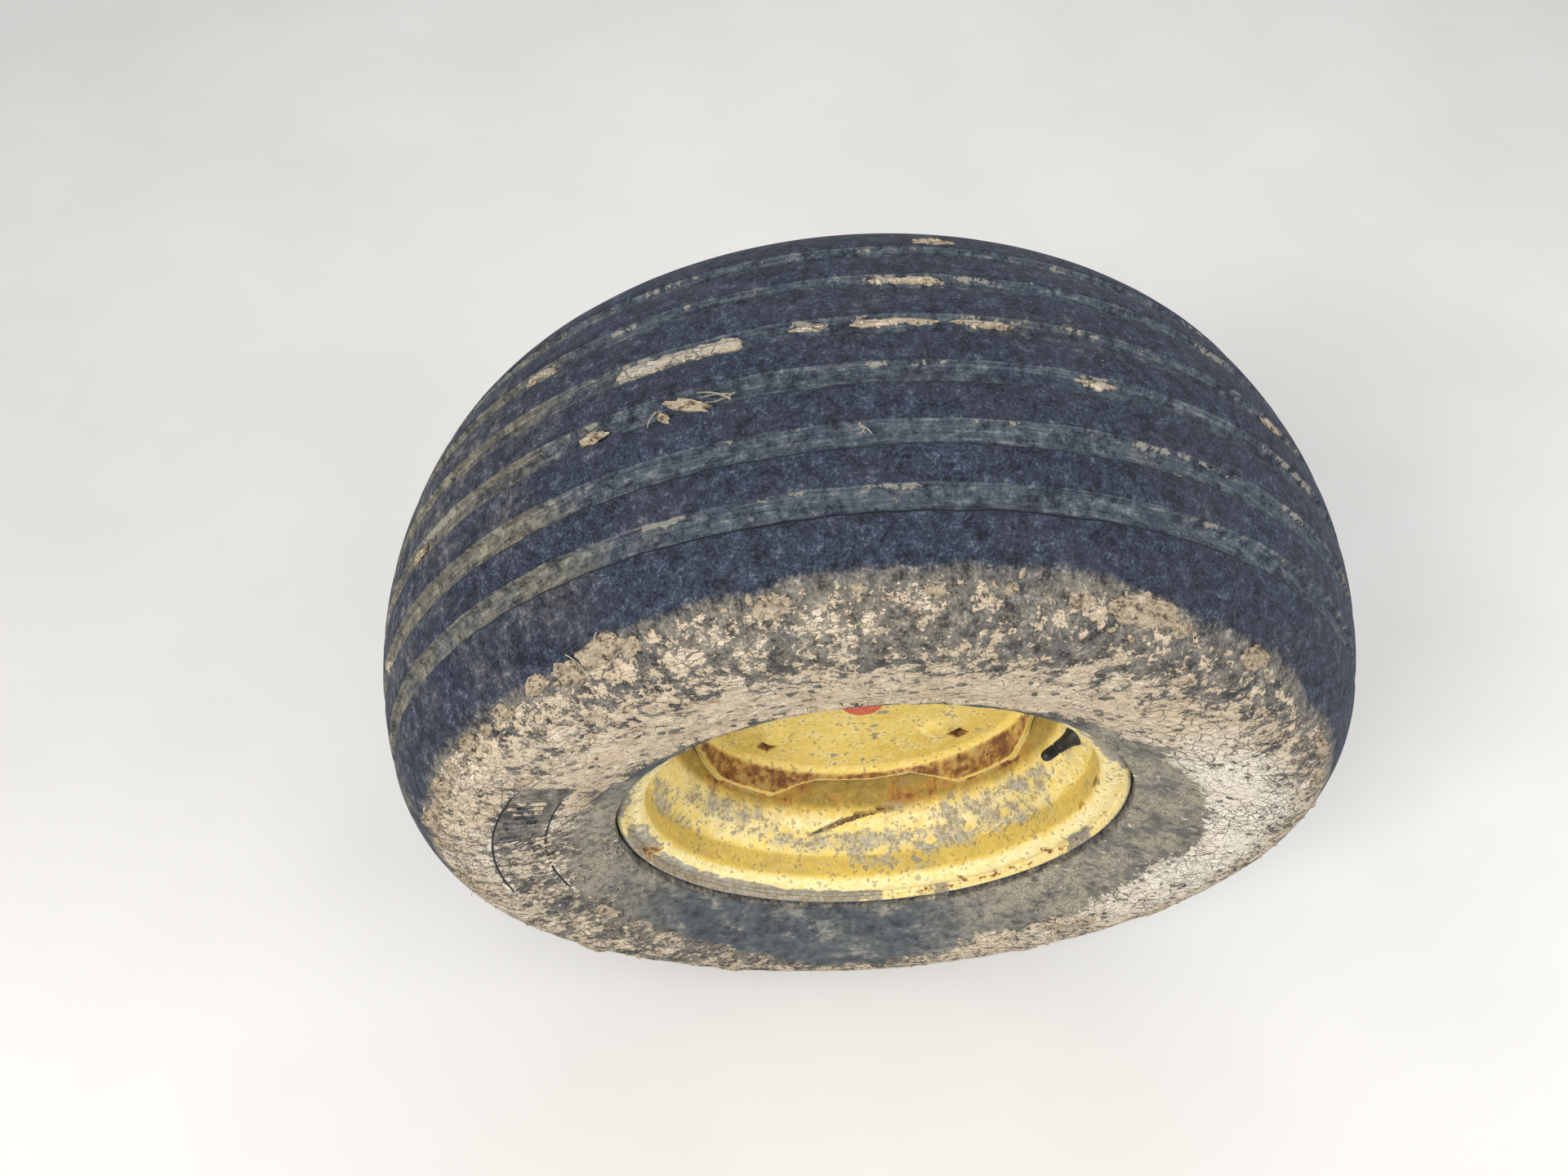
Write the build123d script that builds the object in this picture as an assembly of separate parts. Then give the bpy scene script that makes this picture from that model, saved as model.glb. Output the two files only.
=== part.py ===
"""Wheel station of a round baler: a ribbed implement tyre on a pressed steel wheel, with its hub
and the stub axle that bolts to the machine's frame.

Frame, in millimetres: the origin is the centre of the axle plate's back face, +Z is up, the axle
points along -Y and the outboard side of the wheel is at the low Y end.
"""
from build123d import *
from math import atan2, cos, hypot, sin, sqrt
import os

# Places along the axle
WHEEL_Y = -210.0              # the wheel's middle plane, from the axle plate's back face

# Tyre, inflated, 15 inch bead and about 31 inches across
CROWN_R = 397.5               # from the axle to the tread at the middle plane
CROWN_FLATNESS = 1.907        # radius of the tread across the tyre, for each mm of half width
TYRE_HALF_WIDTH = 171.5
CROWN_HEIGHT = 83.5           # from the widest place up to the crown
SHOULDER_ARC = 120.0
BULGE_ARC = 48.0
SIDEWALL_ARC = 200.0
TYRE_WALL = 14.0
BEAD_WIDTH = 22.0
BEAD_STEP = 2.0               # from the flange's edge out to where the sidewall starts
BEAD_RIDGE = 6.2              # how far the moulded ring round the flange stands out past its lip
BEAD_RIDGE_WIDTH = 18.0       # from its steep side, which faces the flange
BEAD_RIDGE_TOP = 10.5
GROOVE_PLACES = (20.1, 63.1, 104.2)   # middles of the tread's grooves, along the crown from the middle plane
GROOVE_WIDTH = 18.0
GROOVE_FLOOR = 11.0
GROOVE_DEPTH = 5.0

# Rim, a 10 inch wide drop centre rim of pressed sheet
RIM_SHEET = 4.5
SEAT_R = 190.1                # bead seat beside the flange, on the tyre's side
FLANGE_HEIGHT = 17.4
FLANGE_HALF_GAP = 127.0       # middle plane to the flange's face on the bead
FLANGE_LIP = 12.3             # how far the rolled flange reaches outwards
HEM_HEIGHT = 6.0              # how far its edge turns back down
SEAT_DROP = 2.2
SEAT_WIDTH = 27.0
WELL_DEPTH = 20.6             # from the bead seat down to the drop centre
WELL_HALF_WIDTH = 70.0
FLANGE_FILLET = 6.5
LIP_FILLET = 5.0
SEAT_FILLET = 6.0
WELL_FILLET = 9.0
BEAD_CLEARANCE = 0.1

# Disc, a flat pressed plate whose skirt is welded to the well by four lobes
DISC_FACE = -24.0             # outboard face, from the middle plane
DISC_SHEET = 6.0
SKIRT_SPREAD = 13.0           # from the flat's edge out to the well
SKIRT_EDGE = -53.0            # the lobes' edge, from the middle plane
SKIRT_LAND = 12.0             # width of the lobes' band that lies on the well
SKIRT_FILLET = 9.0
WELD_CLEARANCE = 0.1
LOBES = 4
LOBE_SPAN = 24.0              # degrees
WHEEL_TURN = 3.7              # how far the wheel is turned at rest, in degrees
NOTCH_EDGE = -33.0            # the skirt's edge between the lobes, from the middle plane
NOTCH_GAP = 6.5               # between the lobes, from the disc's edge to the well
SQUARE_HOLE = 12.0
SQUARE_HOLE_INSET = 25.0      # from the flat's edge in to the square holes' centres
CENTRE_HOLE_R = 27.5

# Hub, welded behind the disc, on two bearing lands
HUB_R = 38.0
HUB_INNER_END = 85.0          # from the middle plane
HUB_BORE_R = 30.0
HUB_RECESS = 6.0              # depth of the hub's open end, down to its shelf
OUTER_LAND = 26.0             # length of the outboard bearing land
INNER_LAND = 30.0             # length of the inboard bearing land
RUNNING_CLEARANCE = 0.05
SEAL_R = 33.0
SEAL_THICKNESS = 6.0
CAP_R = 18.0
CAP_FLANGE_R = 24.0
CAP_FLANGE = 2.0
CAP_END = -37.0               # from the middle plane
CAP_WALL = 1.5
CAP_CORNER = 5.0

# Valve, a snap-in rubber stem in the slope between bead seat and well
VALVE_TURN = 7.0              # degrees round the axle at rest
VALVE_PLACE = 0.36            # share of the rim's slope, from the well up to the bead seat
VALVE_HOLE_R = 5.8
VALVE_BASE_R = 8.5
VALVE_BASE = 4.0
VALVE_STEM_R = 5.2
VALVE_TIP_R = 3.9
VALVE_LENGTH = 34.0
VALVE_SEAT_GAP = 0.3
VALVE_BUTTON = 3.0            # thickness of its button inside the tyre
VALVE_CAP_R = 4.8
VALVE_CAP_LENGTH = 11.0
VALVE_CAP_TOP = 2.0
VALVE_CLEARANCE = 0.1

# Stub axle
SPINDLE_INNER_R = 22.5
SPINDLE_OUTER_R = 20.0
SPINDLE_THREAD_R = 12.0
SPINDLE_THREAD_END = -31.0    # from the middle plane
SPINDLE_SHOULDER_GAP = 2.0    # from the hub's shelf back to the spindle's shoulder
SEAL_CLEARANCE = 0.3
COLLAR_R = 34.0
COLLAR_THICKNESS = 16.0
COLLAR_GAP = 3.0              # from the seal to the collar
BEAM_WIDTH = 70.0
BEAM_WALL = 8.0
BEAM_CORNER = 8.0
PLATE_SIZE = 180.0
PLATE_THICKNESS = 12.0
PLATE_CORNER = 14.0
PLATE_HOLE_R = 8.75
BOLT_HOLE_EDGE = 20.0         # from the plate's edge in to the holes' centres
GUSSET_THICKNESS = 8.0
GUSSET_EDGE = 15.0            # from the plate's edge in to the gusset
GUSSET_LENGTH = 70.0
GUSSET_TOE = 8.0

# Worked out from the sizes above
CROWN_ARC = TYRE_HALF_WIDTH * CROWN_FLATNESS
WIDEST_R = CROWN_R - CROWN_HEIGHT
FLANGE_R = SEAT_R + FLANGE_HEIGHT
WELL_R = SEAT_R - WELL_DEPTH
HUB_OUTER_END = DISC_FACE + DISC_SHEET
SEAL_END = HUB_INNER_END + SEAL_THICKNESS
COLLAR_START = SEAL_END + COLLAR_GAP
COLLAR_END = COLLAR_START + COLLAR_THICKNESS
HUB_SHELF = HUB_OUTER_END + HUB_RECESS
INNER_LAND_START = HUB_INNER_END - INNER_LAND
WELL_INSIDE_R = WELL_R - RIM_SHEET
BOLT_HOLE_GAP = PLATE_SIZE - BOLT_HOLE_EDGE * 2
DISC_FLAT_R = WELL_INSIDE_R - SKIRT_SPREAD
NOTCH_R = WELL_INSIDE_R - NOTCH_GAP
SQUARE_HOLE_R = DISC_FLAT_R - SQUARE_HOLE_INSET
SEAT_END_R = SEAT_R - SEAT_DROP
SEAT_END = FLANGE_HALF_GAP - SEAT_WIDTH
LIP_EDGE = FLANGE_HALF_GAP + FLANGE_LIP

os.makedirs("parts", exist_ok=True)


def keep(name, solid):
    """Write one sub-part to its own file."""
    export_step(solid, f"parts/{name}.step")


def on_wheel(x, y, z=0.0):
    """A point in the wheel's own frame, whose origin is on the axle at the middle plane."""
    return Vector(x, WHEEL_Y + y, z)


def revolved(face):
    """A section drawn with X as the radius and Y along the axle, turned round the axle."""
    return revolve(face.moved(Location((0, WHEEL_Y, 0))), axis=Axis.Y, revolution_arc=360)


def section(*points):
    """A closed straight-sided section, as (radius, place along the axle)."""
    return make_face(Polyline(*points, close=True))


def meet(a, reach_a, b, reach_b, side):
    """The point at one distance from a and another from b, on the given side of the line a-b."""
    ax, ay = a
    bx, by = b
    gap = hypot(bx - ax, by - ay)
    along = (gap * gap + reach_a * reach_a - reach_b * reach_b) / (2 * gap)
    off = side * sqrt(reach_a * reach_a - along * along)
    ux, uy = (bx - ax) / gap, (by - ay) / gap
    return ax + ux * along - uy * off, ay + uy * along + ux * off


def past(a, b, reach):
    """The point at a distance from a, on the line through b."""
    gap = hypot(b[0] - a[0], b[1] - a[1])
    return a[0] + (b[0] - a[0]) * reach / gap, a[1] + (b[1] - a[1]) * reach / gap


def rim_line():
    """The rim's sheet on the tyre's side, from the outboard flange's hem to the other's."""
    half = [
        (FLANGE_R - HEM_HEIGHT, LIP_EDGE),
        (FLANGE_R, LIP_EDGE),
        (FLANGE_R, FLANGE_HALF_GAP),
        (SEAT_R, FLANGE_HALF_GAP),
        (SEAT_END_R, SEAT_END),
        (WELL_R, WELL_HALF_WIDTH),
    ]
    radii = [LIP_FILLET, FLANGE_FILLET, SEAT_FILLET, SEAT_FILLET, WELL_FILLET]
    points = [(r, -y) for r, y in half] + [(r, y) for r, y in reversed(half)]
    return FilletPolyline(*points, radius=radii + radii[::-1])


def valve_plane():
    """A plane across the valve, in the rim's slope; its Z points out of the rim's hollow side."""
    drop, width = SEAT_END_R - WELL_R, SEAT_END - WELL_HALF_WIDTH
    middle_r = WELL_R + drop * VALVE_PLACE
    middle_y = -WELL_HALF_WIDTH - width * VALVE_PLACE
    slope = hypot(drop, width)
    inward = Vector(-width / slope, -drop / slope, 0)
    half_sheet = inward * (RIM_SHEET / 2)
    return Plane(origin=on_wheel(middle_r, middle_y) + half_sheet, x_dir=(0, 0, 1), z_dir=inward)


def turned(solid, angle):
    """Turn a solid round the axle, from +X towards +Z."""
    return solid.rotate(Axis.Y, -angle)


def on_valve_line(profile):
    """A section drawn as (radius, place along the valve), turned into a solid on the rim."""
    upright = revolve(Plane.XZ * section(*profile), axis=Axis.Z, revolution_arc=360)
    return turned(valve_plane() * upright, VALVE_TURN)


def make_rim():
    line = rim_line()
    sheet = make_face(offset(line, amount=RIM_SHEET, side=Side.LEFT).edges())
    reach = RIM_SHEET * 3
    hole = [(0, -reach), (VALVE_HOLE_R, -reach), (VALVE_HOLE_R, reach), (0, reach)]
    return revolved(sheet) - on_valve_line(hole)


def tread_line():
    """Half of the tread, from the middle plane out, with its grooves."""
    middle_r = CROWN_R - CROWN_ARC
    line = [(CROWN_R, 0)]
    for place in GROOVE_PLACES:
        corners = [(-GROOVE_WIDTH, 0), (-GROOVE_FLOOR, GROOVE_DEPTH), (GROOVE_FLOOR, GROOVE_DEPTH), (GROOVE_WIDTH, 0)]
        for width, depth in corners:
            turn = (place + width / 2) / CROWN_ARC
            line.append((middle_r + (CROWN_ARC - depth) * cos(turn), (CROWN_ARC - depth) * sin(turn)))
    return line


def bead_ridge(centre):
    """The moulded ring at the foot of the sidewall's arc, and the foot itself."""
    foot_r = FLANGE_R + BEAD_STEP
    start_r = foot_r + BEAD_RIDGE_WIDTH
    start_y = centre[1] + sqrt(SIDEWALL_ARC ** 2 - (start_r - centre[0]) ** 2)
    top_y = LIP_EDGE + BEAD_RIDGE
    return [(start_r, start_y), (foot_r + BEAD_RIDGE_TOP, start_y), (foot_r, top_y), (foot_r - 1, LIP_EDGE)]


def tyre_arcs():
    """The arcs of the tyre's section from the crown down to the bead: centre, radius, start, end, chords."""
    crown = (CROWN_R - CROWN_ARC, 0)
    bulge = (WIDEST_R, TYRE_HALF_WIDTH - BULGE_ARC)
    shoulder = meet(crown, CROWN_ARC - SHOULDER_ARC, bulge, SHOULDER_ARC - BULGE_ARC, -1)
    foot = (FLANGE_R + BEAD_STEP, LIP_EDGE)
    sidewall = meet(bulge, SIDEWALL_ARC - BULGE_ARC, foot, SIDEWALL_ARC, 1)
    crown_end = past(crown, shoulder, CROWN_ARC)
    shoulder_end = past(shoulder, bulge, SHOULDER_ARC)
    widest = (WIDEST_R, TYRE_HALF_WIDTH)
    bulge_end = past(sidewall, bulge, SIDEWALL_ARC)
    return [
        (crown, CROWN_ARC, (CROWN_R, 0), crown_end, 1),
        (shoulder, SHOULDER_ARC, crown_end, shoulder_end, 2),
        (bulge, BULGE_ARC, shoulder_end, widest, 2),
        (bulge, BULGE_ARC, widest, bulge_end, 1),
        (sidewall, SIDEWALL_ARC, bulge_end, foot, 1),
    ]


def make_tyre():
    arcs = tyre_arcs()
    outer = tread_line()
    inner = [(CROWN_R - TYRE_WALL, 0)]
    for centre, radius, start, end, chords in arcs:
        first = atan2(start[1] - centre[1], start[0] - centre[0])
        last = atan2(end[1] - centre[1], end[0] - centre[0])
        for step in range(chords):
            turn = first + (last - first) * (step + 1) / chords
            outer.append((centre[0] + radius * cos(turn), centre[1] + radius * sin(turn)))
        inner.append(past(centre, end, radius - TYRE_WALL))
    outer[-1:] = bead_ridge(arcs[-1][0])
    heel = FLANGE_HALF_GAP - BEAD_CLEARANCE
    seat = SEAT_R + BEAD_CLEARANCE
    toe_drop = SEAT_DROP * BEAD_WIDTH / SEAT_WIDTH - BEAD_CLEARANCE
    bead = [
        (FLANGE_R + BEAD_CLEARANCE, heel),
        (seat + SEAT_FILLET, heel),
        (seat, heel - SEAT_FILLET),
        (seat - toe_drop, FLANGE_HALF_GAP - BEAD_WIDTH),
    ]
    side = [*outer, *bead, *reversed(inner)]
    other = [(r, -y) for r, y in reversed(side)]
    return revolved(section(*side, *other[1:-1]))


def make_disc():
    land_r = WELL_INSIDE_R - WELD_CLEARANCE - DISC_SHEET
    line = FilletPolyline(
        (CENTRE_HOLE_R, DISC_FACE),
        (DISC_FLAT_R, DISC_FACE),
        (land_r, SKIRT_EDGE + SKIRT_LAND),
        (land_r, SKIRT_EDGE),
        radius=[SKIRT_FILLET, SKIRT_FILLET],
    )
    disc = revolved(make_face(offset(line, amount=DISC_SHEET, side=Side.LEFT).edges()))
    # Between the lobes the skirt stops short of the well and of the lobes' edge
    inside, outside = DISC_FLAT_R - DISC_SHEET * 2, WELL_INSIDE_R + DISC_SHEET
    behind, front = DISC_FACE + DISC_SHEET * 2, SKIRT_EDGE - DISC_SHEET
    notch = section(
        (NOTCH_R, behind), (outside, behind), (outside, front),
        (inside, front), (inside, NOTCH_EDGE), (NOTCH_R, NOTCH_EDGE),
    ).moved(Location((0, WHEEL_Y, 0)))
    pitch = 360 / LOBES
    notch_span = pitch - LOBE_SPAN
    hole = Box(SQUARE_HOLE, DISC_SHEET * 3, SQUARE_HOLE)
    hole = hole.moved(Location(on_wheel(SQUARE_HOLE_R, DISC_FACE)))
    cut = revolve(notch, axis=Axis.Y, revolution_arc=notch_span)
    for lobe in range(LOBES):
        start = lobe * pitch + WHEEL_TURN
        disc -= turned(cut, start + notch_span / 2)
        disc -= turned(hole, start + pitch / 2)
    return disc


def make_hub():
    outer_bore = SPINDLE_OUTER_R + RUNNING_CLEARANCE
    inner_bore = SPINDLE_INNER_R + RUNNING_CLEARANCE
    return revolved(section(
        (HUB_R, HUB_OUTER_END), (HUB_R, HUB_INNER_END),
        (inner_bore, HUB_INNER_END), (inner_bore, INNER_LAND_START),
        (HUB_BORE_R, INNER_LAND_START), (HUB_BORE_R, HUB_SHELF + OUTER_LAND),
        (outer_bore, HUB_SHELF + OUTER_LAND), (outer_bore, HUB_SHELF),
        (CENTRE_HOLE_R, HUB_SHELF), (CENTRE_HOLE_R, HUB_OUTER_END),
    ))


def make_cap():
    inside_r = CAP_R - CAP_WALL
    shell = revolved(section(
        (0, CAP_END), (CAP_R, CAP_END),
        (CAP_R, HUB_SHELF - CAP_FLANGE), (CAP_FLANGE_R, HUB_SHELF - CAP_FLANGE),
        (CAP_FLANGE_R, HUB_SHELF), (inside_r, HUB_SHELF),
        (inside_r, CAP_END + CAP_WALL), (0, CAP_END + CAP_WALL),
    ))
    end = shell.edges().filter_by(GeomType.CIRCLE).sort_by(Axis.Y)[0]
    return fillet(end, CAP_CORNER)


def make_seal():
    inside_r = SPINDLE_INNER_R + SEAL_CLEARANCE
    return revolved(section(
        (inside_r, HUB_INNER_END), (SEAL_R, HUB_INNER_END), (SEAL_R, SEAL_END), (inside_r, SEAL_END),
    ))


def make_spindle():
    shoulder = HUB_SHELF + SPINDLE_SHOULDER_GAP
    step = (HUB_SHELF + OUTER_LAND + INNER_LAND_START) / 2
    return revolved(section(
        (0, SPINDLE_THREAD_END), (SPINDLE_THREAD_R, SPINDLE_THREAD_END),
        (SPINDLE_THREAD_R, shoulder), (SPINDLE_OUTER_R, shoulder),
        (SPINDLE_OUTER_R, step), (SPINDLE_INNER_R, step),
        (SPINDLE_INNER_R, COLLAR_START), (COLLAR_R, COLLAR_START),
        (COLLAR_R, COLLAR_END), (0, COLLAR_END),
    ))


def make_beam():
    """The square tube between the spindle's collar and the plate."""
    tube = RectangleRounded(BEAM_WIDTH, BEAM_WIDTH, BEAM_CORNER)
    tube -= Rectangle(BEAM_WIDTH - BEAM_WALL * 2, BEAM_WIDTH - BEAM_WALL * 2)
    start = WHEEL_Y + COLLAR_END
    length = -PLATE_THICKNESS - start
    across = Plane(origin=(0, start, 0), x_dir=(1, 0, 0), z_dir=(0, 1, 0))
    return extrude(across * tube, amount=length)


def make_plate():
    across = Plane(origin=(0, -PLATE_THICKNESS, 0), x_dir=(1, 0, 0), z_dir=(0, 1, 0))
    sheet = RectangleRounded(PLATE_SIZE, PLATE_SIZE, PLATE_CORNER)
    sheet -= GridLocations(BOLT_HOLE_GAP, BOLT_HOLE_GAP, 2, 2) * Circle(PLATE_HOLE_R)
    return extrude(across * sheet, amount=PLATE_THICKNESS)


def make_gusset(angle):
    """A web between the tube and the plate, at an angle round the axle."""
    root, face = BEAM_WIDTH / 2, -PLATE_THICKNESS
    toe = PLATE_SIZE / 2 - GUSSET_EDGE
    web = make_face(Polyline(
        (root, face), (toe, face), (toe, face - GUSSET_TOE),
        (root + GUSSET_TOE, face - GUSSET_LENGTH), (root, face - GUSSET_LENGTH), close=True,
    ))
    return turned(extrude(web, amount=GUSSET_THICKNESS / 2, both=True), angle)


def make_valve():
    half_sheet = RIM_SHEET / 2
    neck = VALVE_HOLE_R - VALVE_CLEARANCE
    base = half_sheet + VALVE_SEAT_GAP
    taper_end = VALVE_LENGTH - VALVE_CAP_LENGTH
    return on_valve_line([
        (0, -half_sheet - VALVE_BUTTON), (VALVE_BASE_R, -half_sheet - VALVE_BUTTON),
        (VALVE_BASE_R, -half_sheet), (neck, -half_sheet), (neck, base),
        (VALVE_BASE_R, base), (VALVE_BASE_R, base + VALVE_BASE), (VALVE_STEM_R, base + VALVE_BASE * 2),
        (VALVE_STEM_R, taper_end), (VALVE_TIP_R, taper_end), (VALVE_TIP_R, VALVE_LENGTH), (0, VALVE_LENGTH),
    ])


def make_valve_cap():
    bore = VALVE_TIP_R + VALVE_CLEARANCE
    start = VALVE_LENGTH - VALVE_CAP_LENGTH + VALVE_CLEARANCE
    inside = VALVE_LENGTH + VALVE_CLEARANCE
    return on_valve_line([
        (bore, start), (VALVE_CAP_R, start), (VALVE_CAP_R, inside + VALVE_CAP_TOP),
        (0, inside + VALVE_CAP_TOP), (0, inside), (bore, inside),
    ])


keep("tyre", make_tyre())
keep("rim_barrel", make_rim())
keep("wheel_disc", make_disc())
keep("hub_barrel", make_hub())
keep("dust_cap", make_cap())
keep("grease_seal", make_seal())
keep("valve_stem", make_valve())
keep("valve_cap", make_valve_cap())
keep("spindle", make_spindle())
keep("axle_beam", make_beam())
keep("axle_plate", make_plate())
GUSSETS = [("gusset_top", 90), ("gusset_bottom", -90), ("gusset_front", 0), ("gusset_rear", 180)]
for gusset, gusset_angle in GUSSETS:
    keep(gusset, make_gusset(gusset_angle))
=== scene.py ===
"""Looks of an implement wheel station.

It is a ribbed tyre caked in dried mud, a worn yellow pressed wheel, and the red stub axle that carries it.
Lengths are in millimetres until a piece is finished. Angles go round the axle from +X towards +Z, in degrees.
"""

from functools import lru_cache
from math import atan2, ceil, cos, degrees, exp, hypot, pi, radians, sin, sqrt, tau

import bmesh
import bpy
from mathutils import Matrix, Vector, noise


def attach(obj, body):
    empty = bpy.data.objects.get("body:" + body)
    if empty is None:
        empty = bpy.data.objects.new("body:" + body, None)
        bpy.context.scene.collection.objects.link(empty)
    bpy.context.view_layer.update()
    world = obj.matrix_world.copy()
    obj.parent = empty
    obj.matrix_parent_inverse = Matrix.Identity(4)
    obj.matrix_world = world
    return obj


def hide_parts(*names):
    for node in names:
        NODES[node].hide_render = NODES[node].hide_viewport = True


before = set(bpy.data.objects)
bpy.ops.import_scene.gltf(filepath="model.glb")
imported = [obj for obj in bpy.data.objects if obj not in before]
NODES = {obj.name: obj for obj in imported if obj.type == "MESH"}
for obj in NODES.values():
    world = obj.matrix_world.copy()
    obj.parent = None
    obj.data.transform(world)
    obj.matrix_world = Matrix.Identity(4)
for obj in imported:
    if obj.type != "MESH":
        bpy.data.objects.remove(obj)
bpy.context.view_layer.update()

MM = 0.001
WELD_REACH = 0.001            # points closer than this become one
WHEEL_Y = -210.0

# Tyre
CROWN_R = 397.5
CROWN_ARC = 327.05
TYRE_HALF_WIDTH = 171.5
WIDEST_R = 314.0
SHOULDER_ARC = 120.0
BULGE_ARC = 48.0
SIDEWALL_ARC = 200.0
TYRE_WALL = 14.0
BEAD_WIDTH = 22.0
BEAD_STEP = 2.0
BEAD_RIDGE, BEAD_RIDGE_WIDTH, BEAD_RIDGE_TOP = 6.2, 18.0, 10.5
GROOVES = (-104.2, -63.1, -20.1, 20.1, 63.1, 104.2)
GROOVE_DEPTH = 5.0
# from its middle, share of its depth
GROOVE_SECTION = ((0.0, 1.0), (3.0, 1.0), (5.6, 0.94), (6.9, 0.62), (8.0, 0.2), (9.3, 0.0))
TYRE_STEPS = 510

# Rim
RIM_SHEET = 4.5
SEAT_R = 190.1
FLANGE_R = 207.5
FLANGE_HALF_GAP = 127.0
LIP_EDGE = 139.3
HEM_HEIGHT = 6.0
SEAT_END_R = 187.9
SEAT_END = 100.0
WELL_R = 169.5
WELL_HALF_WIDTH = 70.0
FLANGE_FILLET, LIP_FILLET, SEAT_FILLET, WELL_FILLET = 6.5, 5.0, 6.0, 9.0
BEAD_CLEARANCE = 0.1

# Disc, hub and cap
DISC_FACE = -24.0
DISC_SHEET = 6.0
DISC_FLAT_R = 152.0
SKIRT_R = 158.9
SKIRT_EDGE = -53.0
SKIRT_LAND = 12.0
SKIRT_FILLET = 9.0
NOTCH_EDGE = -33.0
LOBES = 4
LOBE_SPAN = 24.0
LOBE_TAPER = 16.3
WHEEL_TURN = 3.7
SQUARE_HOLE = 14.0
SQUARE_HOLE_R = 127.0
CENTRE_HOLE_R = 27.5
BOSS_R = 104.0
BOSS_REACH = 19.0
BOSS_TURN = 4.2               # each boss sits this far before its lobe's middle, in degrees
BOSS_HEIGHTS = (6.0, 6.0, 7.0, 5.0)
DISC_STEPS = 360
HUB_R = 38.0
CAP_R, CAP_FLANGE_R, CAP_END = 18.0, 24.0, -37.0

# Valve
VALVE_TURN = 7.0
VALVE_PLACE = 0.36            # share of the rim's slope, from the well up to the bead seat
VALVE_BASE_R, VALVE_STEM_R, VALVE_TIP_R, VALVE_LENGTH = 8.5, 5.2, 3.9, 34.0
VALVE_CAP_R, VALVE_CAP_LENGTH = 4.8, 11.0
VALVE_HOLE_R = 5.7
VALVE_FLUTES, VALVE_FLUTE_DEPTH = 22, 0.13


# ---------------------------------------------------------------- shapes

def share(value, low, high):
    """How far a value is from low to high, eased at both ends."""
    part = min(max((value - low) / (high - low), 0.0), 1.0)
    return part * part * (3 - 2 * part)


def rough(place, size, octaves=3):
    """Uneven height, about -1 to 1, with bumps of the given size."""
    return noise.fractal(place / size, 0.9, 2.1, octaves)


def apart(angle, other):
    """The angle between two directions round the axle, with its sign."""
    return (angle - other + 180.0) % 360.0 - 180.0


def round_wheel(angle, radius, along):
    """A point from the direction round the axle, the radius and the place along the axle from the wheel's middle."""
    turn = radians(angle)
    return Vector((radius * cos(turn), WHEEL_Y + along, radius * sin(turn)))


def rounded(points, radii, chords):
    """A section line whose corners are rounded."""
    line = [Vector(points[0])]
    for before, corner, after, radius in zip(points, points[1:], points[2:], radii):
        corner = Vector(corner)
        back, on = (Vector(before) - corner).normalized(), (Vector(after) - corner).normalized()
        half = back.angle(on) / 2
        reach = radius / (sin(half) / cos(half))
        middle = corner + (back + on).normalized() * radius / sin(half)
        first, last = corner + back * reach - middle, corner + on * reach - middle
        swing = first.angle_signed(last)
        for step in range(chords + 1):
            turned = first.copy()
            turned.rotate(Matrix.Rotation(-swing * step / chords, 2))
            line.append(middle + turned)
    line.append(Vector(points[-1]))
    return line


def spaced(line, gap):
    """The line with its long runs divided, so that no run is longer than the gap."""
    out = [line[0]]
    for before, after in zip(line, line[1:]):
        parts = max(1, ceil((after - before).length / gap))
        out += [before.lerp(after, part / parts) for part in range(1, parts + 1)]
    return out


def sheet_section(line, thickness):
    """A closed section: the line, and a second one beside it on its left."""
    other = []
    for number, point in enumerate(line):
        run = (line[min(number + 1, len(line) - 1)] - line[max(number - 1, 0)]).normalized()
        other.append(point + Vector((-run.y, run.x)) * thickness)
    return line + other[::-1]


def outline(bm, places, closed=False):
    """The points and edges of a section, ready to be spun or pulled out."""
    points = [bm.verts.new(place) for place in places]
    return points, [bm.edges.new(pair) for pair in zip(points, points[1:] + points[:closed])]


def spun(bm, points, edges, angle=tau, steps=360, merged=True):
    """Spin a section round the wheel's axle."""
    return bmesh.ops.spin(
        bm, geom=points + edges, cent=(0, WHEEL_Y, 0), axis=(0, 1, 0), angle=angle, steps=steps, use_merge=merged
    )


def lathe(section, steps, closed=True, marks=None):
    """Spin a section of (radius, place along the axle) round the axle. Marks stay on the points as "across"."""
    bm = bmesh.new()
    across = bm.verts.layers.float.new("across")
    points, edges = outline(bm, [(r, WHEEL_Y + y, 0) for r, y in section], closed)
    for number, point in enumerate(points):
        point[across] = marks[number] if marks else 0.0
    spun(bm, points, edges, steps=steps)
    bmesh.ops.remove_doubles(bm, verts=bm.verts, dist=WELD_REACH)
    bmesh.ops.recalc_face_normals(bm, faces=bm.faces)
    return bm


def painter(bm, names):
    """New painted layers, by name."""
    return [bm.verts.layers.float.new(name) for name in names]


def paint(vert, layers, values):
    """Paint one point, one value for each layer."""
    for layer, value in zip(layers, values):
        vert[layer] = value


def edges_of(verts):
    """All edges that meet at some points, each once."""
    return list({edge for vert in verts for edge in vert.link_edges})


def rounded_edges(bm, edges, width, clamped=False):
    """Give edges a small round of three faces."""
    return bmesh.ops.bevel(
        bm, geom=edges, offset=width, offset_type="OFFSET", affect="EDGES", segments=3, profile=0.5, material=-1,
        clamp_overlap=clamped,
    )


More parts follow.
